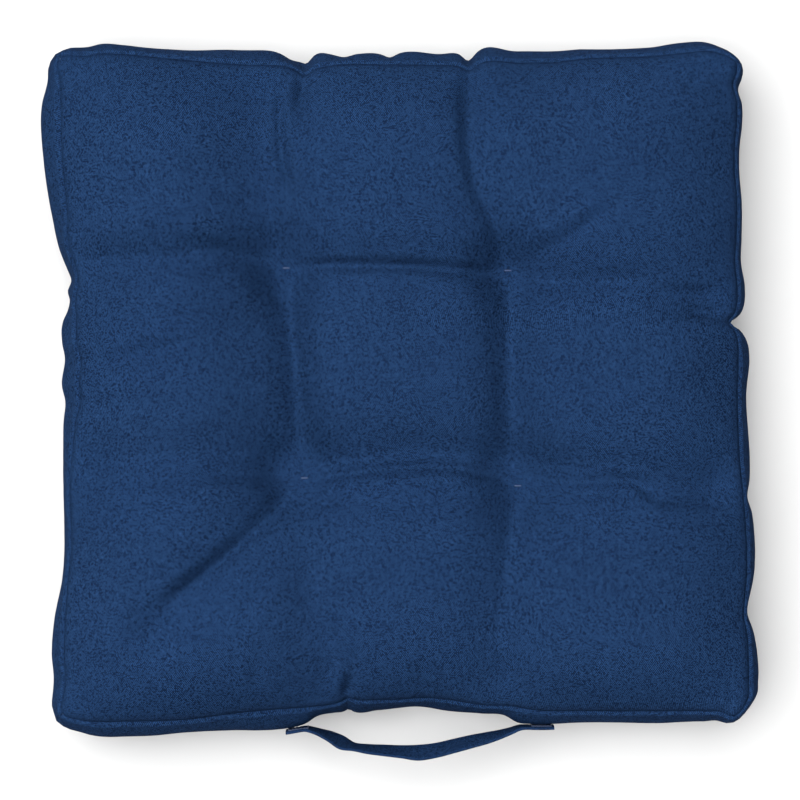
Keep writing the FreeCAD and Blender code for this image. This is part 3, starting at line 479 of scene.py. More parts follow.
def finer(grid, axis, times, closed=False):
    """Grid with times as many cells along an axis: between two points the cubic that also heeds
    the next point on each side."""
    grid = np.moveaxis(grid, axis, 0)
    count = len(grid)
    at = np.arange(count * times if closed else (count - 1) * times + 1) / times
    i = np.minimum(at.astype(int), count - 1 if closed else count - 2)
    t = (at - i)[(...,) + (None,) * (grid.ndim - 1)]
    if closed:
        a, b, c, d = (grid[(i + k) % count] for k in (-1, 0, 1, 2))
    else:
        padded = np.concatenate((2 * grid[:1] - grid[1:2], grid, 2 * grid[-1:] - grid[-2:-1]))
        a, b, c, d = (padded[i + k] for k in (0, 1, 2, 3))
    smooth = b + t / 2 * (c - a + t * (2 * a - 5 * b + 4 * c - d + t * (3 * (b - c) + d - a)))
    return np.moveaxis(smooth, 0, axis)


def fold_depth(folds, ridge, x, y):
    """Depth of pulled folds at places in mm: each fold is deepest on its line, falls off sideways
    as exp(-(distance / half width) to the power 1.6), has a low ridge on each side, and fades over
    its two ends."""
    depth = np.zeros_like(x)
    for line, deep, half in folds:
        line = np.array(line, float)
        fine = np.column_stack([flow(np.column_stack((np.arange(len(line)), line[:, k])),
                                     np.linspace(0, len(line) - 1, 8 * len(line))) for k in (0, 1)])
        step = np.diff(fine, axis=0)
        size = np.hypot(*step.T)
        walked = np.concatenate(([0], np.cumsum(size)))
        reach = 4 * half + 4
        near = ((x > fine[:, 0].min() - reach) & (x < fine[:, 0].max() + reach)
                & (y > fine[:, 1].min() - reach) & (y < fine[:, 1].max() + reach))
        px, py = x[near][:, None], y[near][:, None]
        share = np.clip(((px - fine[:-1, 0]) * step[:, 0] + (py - fine[:-1, 1]) * step[:, 1]) / size**2, 0, 1)
        gaps = np.hypot(px - fine[:-1, 0] - share * step[:, 0], py - fine[:-1, 1] - share * step[:, 1])
        best = gaps.argmin(1)
        row = np.arange(len(best))
        gap = gaps[row, best]
        place = walked[best] + share[row, best] * size[best]
        end = min(LONGEST_FADE, 0.4 * walked[-1])
        fade = ease(place / end) * ease((walked[-1] - place) / end)
        profile = np.exp(-(gap / half) ** 1.6) - ridge * np.exp(-((gap - 2.2 * half) / half) ** 2)
        depth[near] += deep * fade * profile
    return depth


def folded(x, y):
    """Depth in mm that the folds and the valleys together press into the top panel."""
    return (FOLD_STRENGTH * fold_depth(FOLDS, FOLD_RIDGE, x, y)
            + VALLEY_STRENGTH * fold_depth(VALLEYS, VALLEY_RIDGE, x, y))


def kept_above(height, least, rounding):
    """Heights kept above a least one, turning over softly: least plus rounding times the logarithm
    of 1 + exp((height - least) / rounding)."""
    return least + rounding * np.logaddexp(0, (height - least) / rounding)


def ripple(at, wavelength, seed):
    """Uneven wave between about -1 and 1: five sines of seeded lengths near the wavelength."""
    rng = np.random.default_rng(seed)
    lengths = wavelength * rng.uniform(0.6, 1.9, 5)
    phases = rng.uniform(0, 2 * np.pi, 5)
    return np.sin(at[..., None] / lengths * 2 * np.pi + phases).sum(-1) / 2.6


@functools.lru_cache(maxsize=1)
def cover_shape():
    """The whole cover as finished grids: top, bottom, walls and the coarse closed net. The cloth is
    simulated once on the coarse net, then made finer, brought to the seam lines and folded."""
    sizes = bpy.context.scene.cushion_cover
    cells = (round(sizes.width / sizes.cell), round(sizes.depth / sizes.cell))
    rows = round((sizes.upper_seam - sizes.lower_seam) / sizes.cell)
    upper, lower, out, *_ = seams(cells, sizes)
    wall_ids, top_ids, bottom_ids, quads = joined_net(cells, rows)
    v = np.linspace(0, 1, rows + 1)[None, :, None]
    start = np.empty((bottom_ids.max() + 1, 3))
    cut = start.copy()
    top, bottom = patch(upper, cells), patch(lower, cells)
    swell = dome(cells, sizes)
    top[..., 2] += sizes.crown * swell
    bottom[..., 2] -= sizes.sole * swell
    cut[top_ids], cut[bottom_ids] = top, bottom
    straight = upper[:, None] * (1 - v) + lower[:, None] * v
    cut[wall_ids] = straight + out[:, None] * CUT_BULGE * np.sin(np.pi * v)
    middle = (sizes.upper_seam + sizes.lower_seam) / 2
    cut = (cut - (0, 0, middle)) * (1 + sizes.slack) + (0, 0, middle)
    pull, low_pull = tuft_pull(top, PULL_TOP), tuft_pull(bottom, PULL_BOTTOM)
    top[..., 2] += (sizes.upper_seam + sizes.tuft_height - top[..., 2]) * pull
    bottom[..., 2] += (sizes.lower_seam + LOW_TUFT - bottom[..., 2]) * low_pull
    start[wall_ids] = straight + out[:, None] * START_BULGE * np.sin(np.pi * v)
    start[top_ids], start[bottom_ids] = top, bottom
    plan = start[:, :2]
    gap = np.min([np.hypot(*(plan - np.array(t) * MM).T) for t in TUFTS.values()], axis=0)
    inner = np.concatenate((top_ids[1:-1, 1:-1].ravel(), bottom_ids[1:-1, 1:-1].ravel()))
    held = np.concatenate((wall_ids[:, 0], wall_ids[:, -1], inner[gap[inner] < TUFT_HOLD]))
    done = settle(start, cut, quads, held, sizes, frames=20, travel=CLOTH_TRAVEL)
    return finish_shape(done, wall_ids, top_ids, bottom_ids, quads, cells, rows, sizes)


def spread_from_rim(grid, rim_move, cells, fade, spacing):
    """Moves a panel's rim and lets the move die away inwards, as exp(-distance / fade). Where two
    sides reach the same point, each counts with the fourth power of its own share."""
    front, right, back, left = rim_sides(rim_move, cells)
    from_left, from_front = (np.exp(-np.arange(count + 1) * spacing / fade) for count in cells)
    shares = (from_front[None, :, None], from_left[::-1, None, None], from_front[None, ::-1, None],
              from_left[:, None, None])
    moves = (front[:, None], right[None], back[:, None], left[None])
    strength = sum(share ** 4 * np.ones_like(grid[..., :1]) for share in shares)
    return grid + sum(move * share * share ** 4 for move, share in zip(moves, shares)) / strength


def finish_shape(done, wall_ids, top_ids, bottom_ids, quads, cells, rows, sizes):
    """Turns the simulated net into the finished grids: finer cells, seam lines and wall bulge
    brought to their tables, folds, seam rolls, and a flat underside where it rests. Down a wall v
    goes from 0 to 1: the move to a seam dies away as exp(-9 v), the bulge follows the sine of pi
    times v to the power 0.8, and the puckers die away from both seams as exp(-7 v)."""
    times = sizes.refinement
    top, bottom = done[top_ids], done[bottom_ids]
    wall = done[wall_ids]
    for axis in (0, 1):
        top, bottom = finer(top, axis, times), finer(bottom, axis, times)
    wall = finer(finer(wall, 0, times, True), 1, times)
    fine = (cells[0] * times, cells[1] * times)
    spacing = sizes.cell / times
    upper, lower, out, reach, plan = seams(fine, sizes)
    top = spread_from_rim(top, upper - top[rim_slots(fine)], fine, RIM_FADE, spacing)
    bottom = spread_from_rim(bottom, lower - bottom[rim_slots(fine)], fine, RIM_FADE, spacing)
    v = np.linspace(0, 1, rows * times + 1)[None, :, None]
    to_upper, to_lower = (upper - wall[:, 0])[:, None], (lower - wall[:, -1])[:, None]
    wall = wall + to_upper * np.exp(-v * 9) + to_lower * np.exp((v - 1) * 9)
    plan3 = np.column_stack((plan, np.zeros(len(plan))))
    stands = ((wall - plan3[:, None]) * out[:, None]).sum(-1).max(1)
    wall = wall + out[:, None] * (reach - stands)[:, None, None] * np.sin(np.pi * v) ** 0.8
    lowest = sizes.upper_seam - KEPT
    pressed = top_ids[1:-1, 1:-1]
    net = done.copy()
    net[pressed, 2] -= folded(net[pressed, 0] / MM, net[pressed, 1] / MM) * MM
    net[pressed, 2] = kept_above(net[pressed, 2], lowest, KEPT_ROUNDING)
    edge = np.minimum(to_edge(fine[0])[:, None], to_edge(fine[1])[None, :]) * spacing
    inside = ease(edge / 0.006)
    sunk = folded(top[..., 0] / MM, top[..., 1] / MM) * MM * inside
    top[..., 2] += (kept_above(top[..., 2] - sunk, lowest, KEPT_ROUNDING) - top[..., 2]) * inside
    # The panel's border rolls down to its seam.
    top[..., 2] -= 0.0011 * np.exp(-(edge / 0.0030) ** 2)
    around = np.arange(len(wall)) * spacing
    pucker = (ripple(around, 0.022, 5) * 0.5 + ripple(around, 0.009, 6) * 0.22) * MM
    near_seam = np.exp(-v * 7) + np.exp((v - 1) * 7)
    wall = wall + out[:, None] * pucker[:, None, None] * near_seam * np.sin(np.pi * v) ** 0.3
    # Below its upper seam the wall stands out in a narrow roll.
    ninetieths = v * 90
    wall = wall + out[:, None] * 0.0009 * (np.exp(-((ninetieths - 2.4) / 1.8) ** 2)
                                           - np.exp(-(ninetieths / 1.2) ** 2))
    wall[..., 2] += 0.0006 * np.exp(-((ninetieths[..., 0] - 2.2) / 1.8) ** 2)
    bottom[..., 2] = kept_above(bottom[..., 2], FLOOR_GAP, FLOOR_ROUNDING)
    # The seam itself lies in a narrow groove between the panel and the wall.
    groove = np.column_stack((-0.4 * out[:, :2], np.full(len(out), -2.4))) * MM
    top[rim_slots(fine)] += groove
    wall[:, 0] += groove
    return {"top": top, "bottom": bottom, "wall": wall, "out": out, "cells": fine, "net": net,
            "quads": quads, "upper": upper, "lower": lower, "spacing": spacing}


def sew_sheet(name, grid, thickness, turned=False):
    """One cut of canvas as a piece: its grid, turned over where asked, given the cloth's thickness
    on the inner side."""
    numbers = np.arange(grid.shape[0] * grid.shape[1]).reshape(grid.shape[:2])
    quads = grid_quads(numbers)
    piece = new_piece(name, mesh_of(name, grid, quads[:, ::-1] if turned else quads, flat_uv(grid)))
    solid = piece.modifiers.new("thickness", "SOLIDIFY")
    solid.thickness = thickness
    solid.offset = -1
    solid.use_even_offset = False
    return piece


def with_allowance(grid, inside):
    """Panel grid with two more rows all round that turn into the seam: the first rolls over the
    edge, the second hangs inside, which is below (-1) a top panel and above (+1) a bottom one."""
    for pull, drop in PANEL_TURNS:
        z = drop * inside
        grid = np.concatenate((grid[:1] + (pull, 0, z), grid, grid[-1:] + (-pull, 0, z)), 0)
        grid = np.concatenate((grid[:, :1] + (0, pull, z), grid, grid[:, -1:] + (0, -pull, z)), 1)
    return grid


def flat_uv(grid):
    """Cut pattern of a grid, in metres: the mean length walked along each direction."""
    du = np.linalg.norm(np.diff(grid, axis=0), axis=-1).mean(1)
    dv = np.linalg.norm(np.diff(grid, axis=1), axis=-1).mean(0)
    u = np.concatenate(([0], np.cumsum(du)))
    v = np.concatenate(([0], np.cumsum(dv)))
    return np.stack(np.meshgrid(u, v, indexing="ij"), -1)


def tube(name, line, radius, sides=6, closed=False):
    """Round thread along a line of points: a ring across the line at every point, with its points
    at equal angles."""
    ahead = np.roll(line, -1, 0) - np.roll(line, 1, 0)
    if not closed:
        ahead[0], ahead[-1] = line[1] - line[0], line[-1] - line[-2]
    ahead = ahead / np.linalg.norm(ahead, axis=1, keepdims=True)
    help_axis = np.where(np.abs(ahead[:, 2:]) > 0.8, (1.0, 0.0, 0.0), (0.0, 0.0, 1.0))
    side = np.cross(ahead, help_axis)
    side = side / np.linalg.norm(side, axis=1, keepdims=True)
    up = np.cross(side, ahead)
    angle = np.arange(sides) / sides * 2 * np.pi
    rings = (line[:, None] + radius * (np.cos(angle)[None, :, None] * side[:, None]
                                       + np.sin(angle)[None, :, None] * up[:, None]))
    return skin(name, rings, closed)


def add(tree, kind, inputs=None, **settings):
    """Adds a shader node with its settings, and gives each input, by name or number, its value or
    its link."""
    node = tree.nodes.new(kind)
    for key, value in settings.items():
        setattr(node, key, value)
    for key, source in (inputs or {}).items():
        if isinstance(source, bpy.types.NodeSocket):
            tree.links.new(source, node.inputs[key])
        else:
            node.inputs[key].default_value = source
    return node


def clear_material(name):
    """New material with only its output node, its node tree and that node's surface input."""
    material = bpy.data.materials.new(name)
    material.use_nodes = True
    tree = material.node_tree
    tree.nodes.clear()
    return material, tree, tree.nodes.new("ShaderNodeOutputMaterial").inputs["Surface"]


@functools.lru_cache(maxsize=None)
def woven_cotton_canvas(name):
    """Cotton canvas, piece-dyed navy and plain woven: quite matt, with uneven yarns that show as short
    streaks both ways. Every second crossing is drawn lighter and the next darker, which is painted highlight
    and painted shade of the woven relief. The threads across are drawn half as coarse again as real ones,
    because finer ones would not show."""
    finish = bpy.context.scene.cushion_finish
    material, tree, surface = clear_material(name)
    cut = add(tree, "ShaderNodeUVMap", uv_map="cut").outputs["UV"]
    threads = add(tree, "ShaderNodeMapping", {"Vector": cut, "Scale": (1 / WARP, 1 / WEFT, 1)}).outputs[0]
    yarns = add(tree, "ShaderNodeMapping", {"Vector": cut, "Scale": (1 / WARP, 1.5 / WEFT, 1)}).outputs[0]
    crossings = add(tree, "ShaderNodeVectorMath", {0: yarns}, operation="FLOOR").outputs[0]
    knots = add(tree, "ShaderNodeTexWhiteNoise", {"Vector": crossings}).outputs["Value"]
    # Every second crossing lighter and the next darker: painted highlight and painted shade of the woven
    # relief.
    crossing_light_and_shade = add(tree, "ShaderNodeTexChecker", {"Vector": threads, "Scale": 1.0}).outputs["Fac"]
    layers = [(knots, 1.7), (crossing_light_and_shade, 1.1)]
    # Warp streaks, weft streaks and broad blotches of dye: size across, size along, weight.
    streaks = ((0.6 * WARP, 6 * WARP, 0.9), (4 * WEFT, 0.5 * WEFT, 0.8), (0.070, 0.055, 0.25))
    for shift, (across, along, weight) in enumerate(streaks):
        spot = add(tree, "ShaderNodeMapping", {"Vector": cut, "Scale": (1 / across, 1 / along, 1),
                                               "Location": (0, 0, 3.1 * shift)}).outputs[0]
        noise = add(tree, "ShaderNodeTexNoise",
                    {"Vector": spot, "Scale": 1.0, "Detail": 1.5, "Roughness": 0.6})
        layers.append((noise.outputs["Fac"], weight))
    tone = 0.5 - sum(weight for _, weight in layers) / 2
    for layer, weight in layers:
        tone = add(tree, "ShaderNodeMath", {0: layer, 1: weight, 2: tone},
                   operation="MULTIPLY_ADD").outputs[0]
    # The ramp runs from painted shade in the gaps through the canvas colour to painted highlight on the
    # thread tops; the random knots and the yarn streaks move the tone as well.
    ramp = add(tree, "ShaderNodeValToRGB", {"Fac": tone})
    ramp.color_ramp.elements[0].color = (*finish.canvas_shaded_gaps, 1)
    ramp.color_ramp.elements[1].color = (*finish.canvas_lit_tops, 1)
    ramp.color_ramp.elements.new(0.5).color = (*finish.canvas, 1)
    bump = add(tree, "ShaderNodeBump", {"Height": tone, "Strength": 0.4, "Distance": 0.0004})
    shader = add(tree, "ShaderNodeBsdfPrincipled",
                 {"Base Color": ramp.outputs["Color"], "Normal": bump.outputs["Normal"],
                  "Roughness": 0.95, "IOR": 1.46, "Specular IOR Level": 0.01})
    tree.links.new(shader.outputs[0], surface)
    return material


@functools.lru_cache(maxsize=None)
def spun_polyester_thread():
    """Spun polyester sewing thread: slightly glossy, with the twist of its plies as fine slanting
    ribs."""
    finish = bpy.context.scene.cushion_finish
    material, tree, surface = clear_material("spun_polyester_thread")
    place = add(tree, "ShaderNodeTexCoord").outputs["Object"]
    twist = add(tree, "ShaderNodeTexWave", {"Vector": place, "Scale": 900.0, "Distortion": 1.0},
                bands_direction="DIAGONAL")
    ramp = add(tree, "ShaderNodeValToRGB", {"Fac": twist.outputs["Fac"]})
    ramp.color_ramp.elements[0].color = (*(0.55 * c for c in finish.thread), 1)
    ramp.color_ramp.elements[1].color = (*finish.thread, 1)
    bump = add(tree, "ShaderNodeBump", {"Height": twist.outputs["Fac"], "Strength": 0.4, "Distance": 0.0002})
    shader = add(tree, "ShaderNodeBsdfPrincipled",
                 {"Base Color": ramp.outputs["Color"], "Normal": bump.outputs["Normal"],
                  "Roughness": 0.55, "IOR": 1.54, "Sheen Weight": 0.1})
    tree.links.new(shader.outputs[0], surface)
    return material


@functools.lru_cache(maxsize=None)
def carded_polyester_fibre():
    """Carded polyester fibre batting: white, fluffy and matt, with soft random strands."""
    finish = bpy.context.scene.cushion_finish
    material, tree, surface = clear_material("carded_polyester_fibre")
    place = add(tree, "ShaderNodeTexCoord").outputs["Object"]
    strands = add(tree, "ShaderNodeTexNoise",
                  {"Vector": place, "Scale": 240.0, "Detail": 4.0, "Distortion": 1.5})
    ramp = add(tree, "ShaderNodeValToRGB", {"Fac": strands.outputs["Fac"]})
    ramp.color_ramp.elements[0].color = (*(0.8 * c for c in finish.filling), 1)
    ramp.color_ramp.elements[1].color = (*finish.filling, 1)
    bump = add(tree, "ShaderNodeBump", {"Height": strands.outputs["Fac"], "Strength": 0.8, "Distance": 0.002})
    shader = add(tree, "ShaderNodeBsdfPrincipled",
                 {"Base Color": ramp.outputs["Color"], "Normal": bump.outputs["Normal"],
                  "Roughness": 0.95, "IOR": 1.5, "Sheen Weight": 0.4})
    tree.links.new(shader.outputs[0], surface)
    return material


@functools.lru_cache(maxsize=None)
def matt_studio_paper():
    """Matt paper sweep: plain, pale and without gloss."""
    finish = bpy.context.scene.cushion_finish
    material, tree, surface = clear_material("matt_studio_paper")
    place = add(tree, "ShaderNodeTexCoord").outputs["Object"]
    fibres = add(tree, "ShaderNodeTexNoise", {"Vector": place, "Scale": 60.0, "Detail": 3.0})
    ramp = add(tree, "ShaderNodeValToRGB", {"Fac": fibres.outputs["Fac"]})
    ramp.color_ramp.elements[0].color = (*(0.98 * c for c in finish.floor), 1)
    ramp.color_ramp.elements[1].color = (*finish.floor, 1)
    shader = add(tree, "ShaderNodeBsdfPrincipled",
                 {"Base Color": ramp.outputs["Color"], "Roughness": 0.9, "Specular IOR Level": 0.1})
    tree.links.new(shader.outputs[0], surface)
    return material


def belongs(piece, material, body="cushion", stands_for=()):
    """Gives a piece its material and its body, and hides the CAD nodes that it stands for."""
    piece.data.materials.append(material)
    if body:
        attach(piece, body)
    if stands_for:
        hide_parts(*stands_for)
    return piece


class CUSHION_OT_stage(bpy.types.Operator):
    """Lays the pale floor and sets up the soft overhead light and the camera above it"""

    bl_idname = "cushion.stage"
    bl_label = "Set the stage"

    def execute(self, context):
        scene = context.scene
        camera_data = bpy.data.cameras.new("camera")
        camera_data.lens = 135
        camera_data.sensor_width = 36
        camera = bpy.data.objects.new("camera", camera_data)
        camera.location = (0.0007, -0.0086, 2.2)
        scene.collection.objects.link(camera)
        scene.camera = camera
        sun_data = bpy.data.lights.new("overhead_softbox", "SUN")
        sun_data.energy = 7.8
        sun_data.angle = math.radians(72)
        sun = bpy.data.objects.new("overhead_softbox", sun_data)
        sun.rotation_euler = (math.radians(-7), math.radians(-14), 0)
        scene.collection.objects.link(sun)
        world = bpy.data.worlds.new("studio")
        scene.world = world
        world.use_nodes = True
        world.node_tree.nodes["Background"].inputs["Color"].default_value = (0.96, 0.98, 1, 1)
        world.node_tree.nodes["Background"].inputs["Strength"].default_value = 0.06
        corners = np.array([(-4, -4, 0), (4, -4, 0), (4, 4, 0), (-4, 4, 0)], float)
        floor = new_piece("floor", mesh_of("floor", corners, np.array([[0, 1, 2, 3]])))
        floor.data.materials.append(matt_studio_paper())
        scene.view_settings.view_transform = "Standard"
        scene.view_settings.look = "None"
        return {"FINISHED"}


class CUSHION_OT_panels(bpy.types.Operator):
    """Sews the top and bottom panels of the cover"""

    bl_idname = "cushion.panels"
    bl_label = "Sew the panels"

    def execute(self, context):
        shape = cover_shape()
        sizes = context.scene.cushion_cover
        canvas = woven_cotton_canvas("woven_cotton_canvas")
        for name, inside in (("top", -1), ("bottom", 1)):
            grid = with_allowance(shape[name], inside)
            piece = sew_sheet(f"{name}_panel_canvas", grid, sizes.cloth, turned=name == "bottom")
            belongs(piece, canvas, stands_for=(f"{name}_panel",))
        return {"FINISHED"}


class CUSHION_OT_walls(bpy.types.Operator):
    """Sews the four side walls of the cover"""

    bl_idname = "cushion.walls"
    bl_label = "Sew the walls"

    def execute(self, context):
        shape = cover_shape()
        sizes = context.scene.cushion_cover
        canvas = woven_cotton_canvas("woven_cotton_canvas_walls")
        wall, out = shape["wall"], shape["out"]
        nx, ny = shape["cells"]
        starts = (0, nx, nx + ny, 2 * nx + ny, 2 * (nx + ny))
        for i, side in enumerate(SIDES):
            rows = np.arange(starts[i], starts[i + 1] + 1) % len(wall)
            grid, outward = wall[rows], out[rows][:, None]
            for step, drop in WALL_TURNS:
                first, last = grid[:, :1] - outward * step, grid[:, -1:] - outward * step
                first[..., 2] -= drop
                last[..., 2] += drop
                grid = np.concatenate((first, grid, last), 1)
            piece = sew_sheet(f"{side}_wall_canvas", grid, sizes.cloth, turned=True)
            belongs(piece, canvas, stands_for=(f"{side}_wall",))
            drop = sizes.upper_seam - sizes.lower_seam
        return {"FINISHED"}


class CUSHION_OT_filling(bpy.types.Operator):
    """Makes the fibre filling, which fills the cover from inside"""

    bl_idname = "cushion.filling"
    bl_label = "Fill the cover"

    def execute(self, context):
        shape = cover_shape()
        mesh = mesh_of("filling_fibre", shape["net"], shape["quads"])
        normals = np.empty(len(mesh.vertices) * 3, np.float32)
        mesh.vertex_normals.foreach_get("vector", normals)
        inner = shape["net"] - normals.reshape(-1, 3) * 0.0045
        inner[:, 2] = np.maximum(inner[:, 2], 0.0035)
        mesh.vertices.foreach_set("co", inner.astype(np.float32).ravel())
        piece = new_piece("filling_fibre", mesh)
        belongs(piece, carded_polyester_fibre(), stands_for=("filling",))
        return {"FINISHED"}


class CUSHION_OT_tufts(bpy.types.Operator):
    """Ties the four tufts through the cushion"""

    bl_idname = "cushion.tufts"
    bl_label = "Tie the tufts"

    def execute(self, context):
        shape = cover_shape()
        thread = context.scene.cushion_strap.thread
        for name, (x, y) in TUFTS.items():
            spot = np.array((x, y)) * MM
            heights = []
            for panel in ("top", "bottom"):
                grid = shape[panel].reshape(-1, 3)
                near = np.hypot(*(grid[:, :2] - spot).T) < 0.004
                heights.append(grid[near, 2].mean())
            high, low = heights[0] + 0.0003, max(heights[1] - 0.0006, thread)
            between = (high + low) / 2
            loop = np.array([(-3, high - 0.004), (-2.4, high - 0.001), (-1.6, high), (0, high + 0.0002),
                             (1.6, high), (2.4, high - 0.001), (3, high - 0.004), (2.2, between),
                             (3, low + 0.004), (2.9, low + 0.001), (2.2, low), (0, low),
                             (-2.2, low), (-2.9, low + 0.001), (-3, low + 0.004), (-2.2, between)])
            line = np.column_stack((spot[0] + loop[:, 0] * MM, np.full(len(loop), spot[1]), loop[:, 1]))
            piece = tube(f"tuft_thread_{name}", finer(line, 0, 4, True), thread / 2, 8, True)
            belongs(piece, spun_polyester_thread(), stands_for=(f"tuft_tie_{name}",))
        return {"FINISHED"}


def stitched(line, up, stitch, amplitude):
    """Lockstitch along a line: the line spaced evenly, swinging up and down once in every stitch."""
    size = np.linalg.norm(np.diff(line, axis=0), axis=1)
    walked = np.concatenate(([0], np.cumsum(size)))
    at = np.linspace(0, walked[-1], int(walked[-1] / stitch * 5) + 1)
    even = np.column_stack([np.interp(at, walked, line[:, k]) for k in range(3)])
    return even + np.array(up) * amplitude * np.sin(2 * np.pi * at / stitch)[:, None]


class CUSHION_OT_seams(bpy.types.Operator):
    """Sews the upper, lower, closing and corner seams inside the cover"""

    bl_idname = "cushion.seams"
    bl_label = "Stitch the seams"

    def execute(self, context):
        shape = cover_shape()
        sizes = context.scene.cushion_strap
        thread = spun_polyester_thread()
        wall, out = shape["wall"], shape["out"]
        nx, ny = shape["cells"]
        middle = nx + ny + nx // 2
        opening = round(0.1 / shape["spacing"])
        keep = np.r_[middle + opening:len(wall), 0:middle - opening]
        closing = np.arange(middle - opening, middle + opening + 1)
        inwards = np.concatenate((out, out[:1])) * THREAD_INSET
        upper = np.concatenate((shape["upper"], shape["upper"][:1])) - inwards
        upper[:, 2] -= 0.0026
        runs = {"upper_seam_stitches": (upper, ("upper_seam_thread",)),
                "lower_seam_stitches": (shape["lower"][keep] - out[keep] * THREAD_INSET + (0, 0, 0.0026),
                                        ("lower_seam_thread",)),
                "closing_seam_stitches": (shape["lower"][closing] - out[closing] * 0.0022 + (0, 0, 0.0024),
                                          ("closing_seam_thread",))}
        for name, (line, nodes) in runs.items():
            piece = tube(name, stitched(line, (0, 0, 1), sizes.stitch, 0.0004), sizes.thread / 2, 5)
            belongs(piece, thread, stands_for=nodes)
        corners = {"front_left": 0, "front_right": nx, "back_right": nx + ny, "back_left": 2 * nx + ny}
        for name, k in corners.items():
            line = wall[k, 1:-1] - out[k] * 0.0034
            piece = tube(f"corner_stitches_{name}", stitched(line, out[k], sizes.stitch, 0.0004),
                         sizes.thread / 2, 5)
            belongs(piece, thread, stands_for=(f"corner_seam_thread_{name}",))
        return {"FINISHED"}


# Centre line of the strap, in mm: place along X, distance in front of the origin, and lean of the
# strap's width from upright, in degrees. Where the wall stands further out, the strap lies on it.
STRAP_LINE = ((-81, 230, 0), (-74, 238, 0), (-66, 243.6, 2), (-57, 247.0, 6), (-49, 250.2, 14),
              (-41, 254.4, 20), (-33, 257.2, 8), (-23, 258.9, 10), (-10, 260.0, 14), (3, 261.0, 18),
              (13, 261.6, 24), (26, 260.0, 22), (40, 256.6, 20), (52, 253.6, 18), (64, 250.8, 14),
              (74, 248.0, 8), (83, 244.6, 3), (90, 240, 0), (97, 234, 0), (111, 230, 0))


def strap_frame(sizes, wall):
    """Centre line of the strap, its sideways and its thickness directions, at even steps along X.
    The line is the larger of its own distance and the wall's, rounded over 1.5 mm where they meet."""
    x, y, lean = np.array(STRAP_LINE, float).T
    at = np.arange(x[0], x[-1] + 0.01, 1.0)
    points = wall.reshape(-1, 3) / MM
    points = points[np.abs(points[:, 2] - sizes.middle / MM) < sizes.width / MM / 2 - 2]
    touching = [-points[np.abs(points[:, 0] - place) < 3, 1].min() for place in at]
    touching = np.convolve(np.pad(touching, 4, "edge"), np.full(9, 1 / 9), "valid")
    touching = touching + sizes.thickness / MM / 2 + 0.4
    front = -kept_above(flow(np.column_stack((x, y)), at), touching, 1.5)
    tilt = np.radians(flow(np.column_stack((x, lean)), at))
    line = np.column_stack((at, front, np.full(len(at), sizes.middle / MM))) * MM
    ahead = np.gradient(line, axis=0)
    ahead = ahead / np.linalg.norm(ahead, axis=1, keepdims=True)
    away = np.cross(ahead, (0, 0, 1.0))
    wide = np.cos(tilt)[:, None] * np.array((0, 0, 1.0)) + np.sin(tilt)[:, None] * away
    return line, wide, np.cross(ahead, wide)


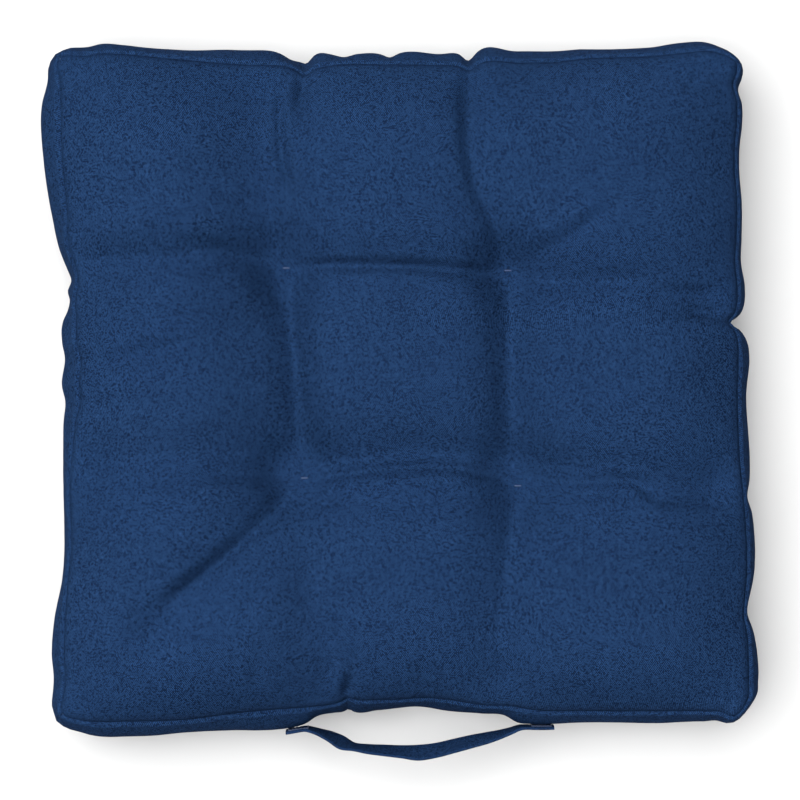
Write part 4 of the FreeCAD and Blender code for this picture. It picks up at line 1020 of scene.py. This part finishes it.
class CUSHION_OT_strap(bpy.types.Operator):
    """Makes the carrying strap and sews its two ends to the front wall"""

    bl_idname = "cushion.strap"
    bl_label = "Sew on the strap"

    def execute(self, context):
        sizes = context.scene.cushion_strap
        shape = cover_shape()
        line, wide, deep = strap_frame(sizes, shape["wall"][:shape["cells"][0] + 1])
        around = np.arange(40) / 40 * 2 * np.pi
        # A flattened ring: nearly straight faces, rounded edges, and a shallow dip along each edge
        # where the strap is stitched.
        flat = np.sign(np.cos(around)) * np.abs(np.cos(around)) ** 0.9 * sizes.width / 2
        thick = np.sign(np.sin(around)) * np.abs(np.sin(around)) ** 0.35 * sizes.thickness / 2
        thick = thick * (1 - 0.22 * np.exp(-((np.abs(flat) - sizes.width * 0.36) / 0.0008) ** 2))
        rings = line[:, None] + flat[None, :, None] * wide[:, None] + thick[None, :, None] * deep[:, None]
        walked = np.concatenate(([0], np.cumsum(np.linalg.norm(np.diff(line, axis=0), axis=1))))
        girth = np.concatenate(([0], np.cumsum(np.hypot(np.diff(flat), np.diff(thick)))))
        piece = skin("carrying_strap", rings, uv=np.stack(np.meshgrid(walked, girth, indexing="ij"), -1))
        belongs(piece, woven_cotton_canvas("folded_canvas_strap"), body=None,
                stands_for=("handle_loop", "handle_end_left", "handle_end_right"))
        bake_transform(piece)
        # Each end is sewn down with a box and a cross in it.
        for name, (low, high) in {"left": (2, 16), "right": (len(line) - 17, len(line) - 3)}.items():
            face = deep[low] * sizes.thickness * 0.5
            spots = [line[place] + wide[low] * rise * 0.0072 - face
                     for place, rise in ((low, -1), (low, 1), (high, 1), (high, -1))]
            box = np.array([spots[k] for k in (0, 1, 2, 3, 0, 2, 1, 3)])
            piece = tube(f"strap_stitches_{name}", stitched(box, -deep[low], 0.0028, 0.0003),
                         sizes.thread / 2, 6)
            belongs(piece, spun_polyester_thread(), stands_for=(f"handle_stitches_{name}",))
        return {"FINISHED"}


class CUSHION_PT_panel(bpy.types.Panel):
    """Lists the sizes, the finishes and the steps of the cushion"""

    bl_label = "Floor cushion"
    bl_idname = "CUSHION_PT_panel"
    bl_space_type = "VIEW_3D"
    bl_region_type = "UI"
    bl_category = "Cushion"

    def draw(self, context):
        for group in (context.scene.cushion_cover, context.scene.cushion_strap, context.scene.cushion_finish):
            box = self.layout.box()
            for name in type(group).__annotations__:
                box.prop(group, name)
        for step in OPERATORS:
            self.layout.operator(step.bl_idname)


OPERATORS = (CUSHION_OT_stage, CUSHION_OT_panels, CUSHION_OT_walls, CUSHION_OT_filling, CUSHION_OT_tufts,
             CUSHION_OT_seams, CUSHION_OT_strap)
CLASSES = (CoverSizes, StrapSizes, Finishes, *OPERATORS, CUSHION_PT_panel)


def register():
    """Registers the classes and hangs their settings on the scene."""
    for item in CLASSES:
        bpy.utils.register_class(item)
    bpy.types.Scene.cushion_cover = PointerProperty(type=CoverSizes)
    bpy.types.Scene.cushion_strap = PointerProperty(type=StrapSizes)
    bpy.types.Scene.cushion_finish = PointerProperty(type=Finishes)


def unregister():
    """Takes the settings off the scene and unregisters the classes."""
    del bpy.types.Scene.cushion_cover
    del bpy.types.Scene.cushion_strap
    del bpy.types.Scene.cushion_finish
    for item in reversed(CLASSES):
        bpy.utils.unregister_class(item)


def main():
    """Builds the cushion and its stage."""
    register()
    for step in OPERATORS:
        category, name = step.bl_idname.split(".")
        getattr(getattr(bpy.ops, category), name)()


if __name__ == "__main__":
    main()
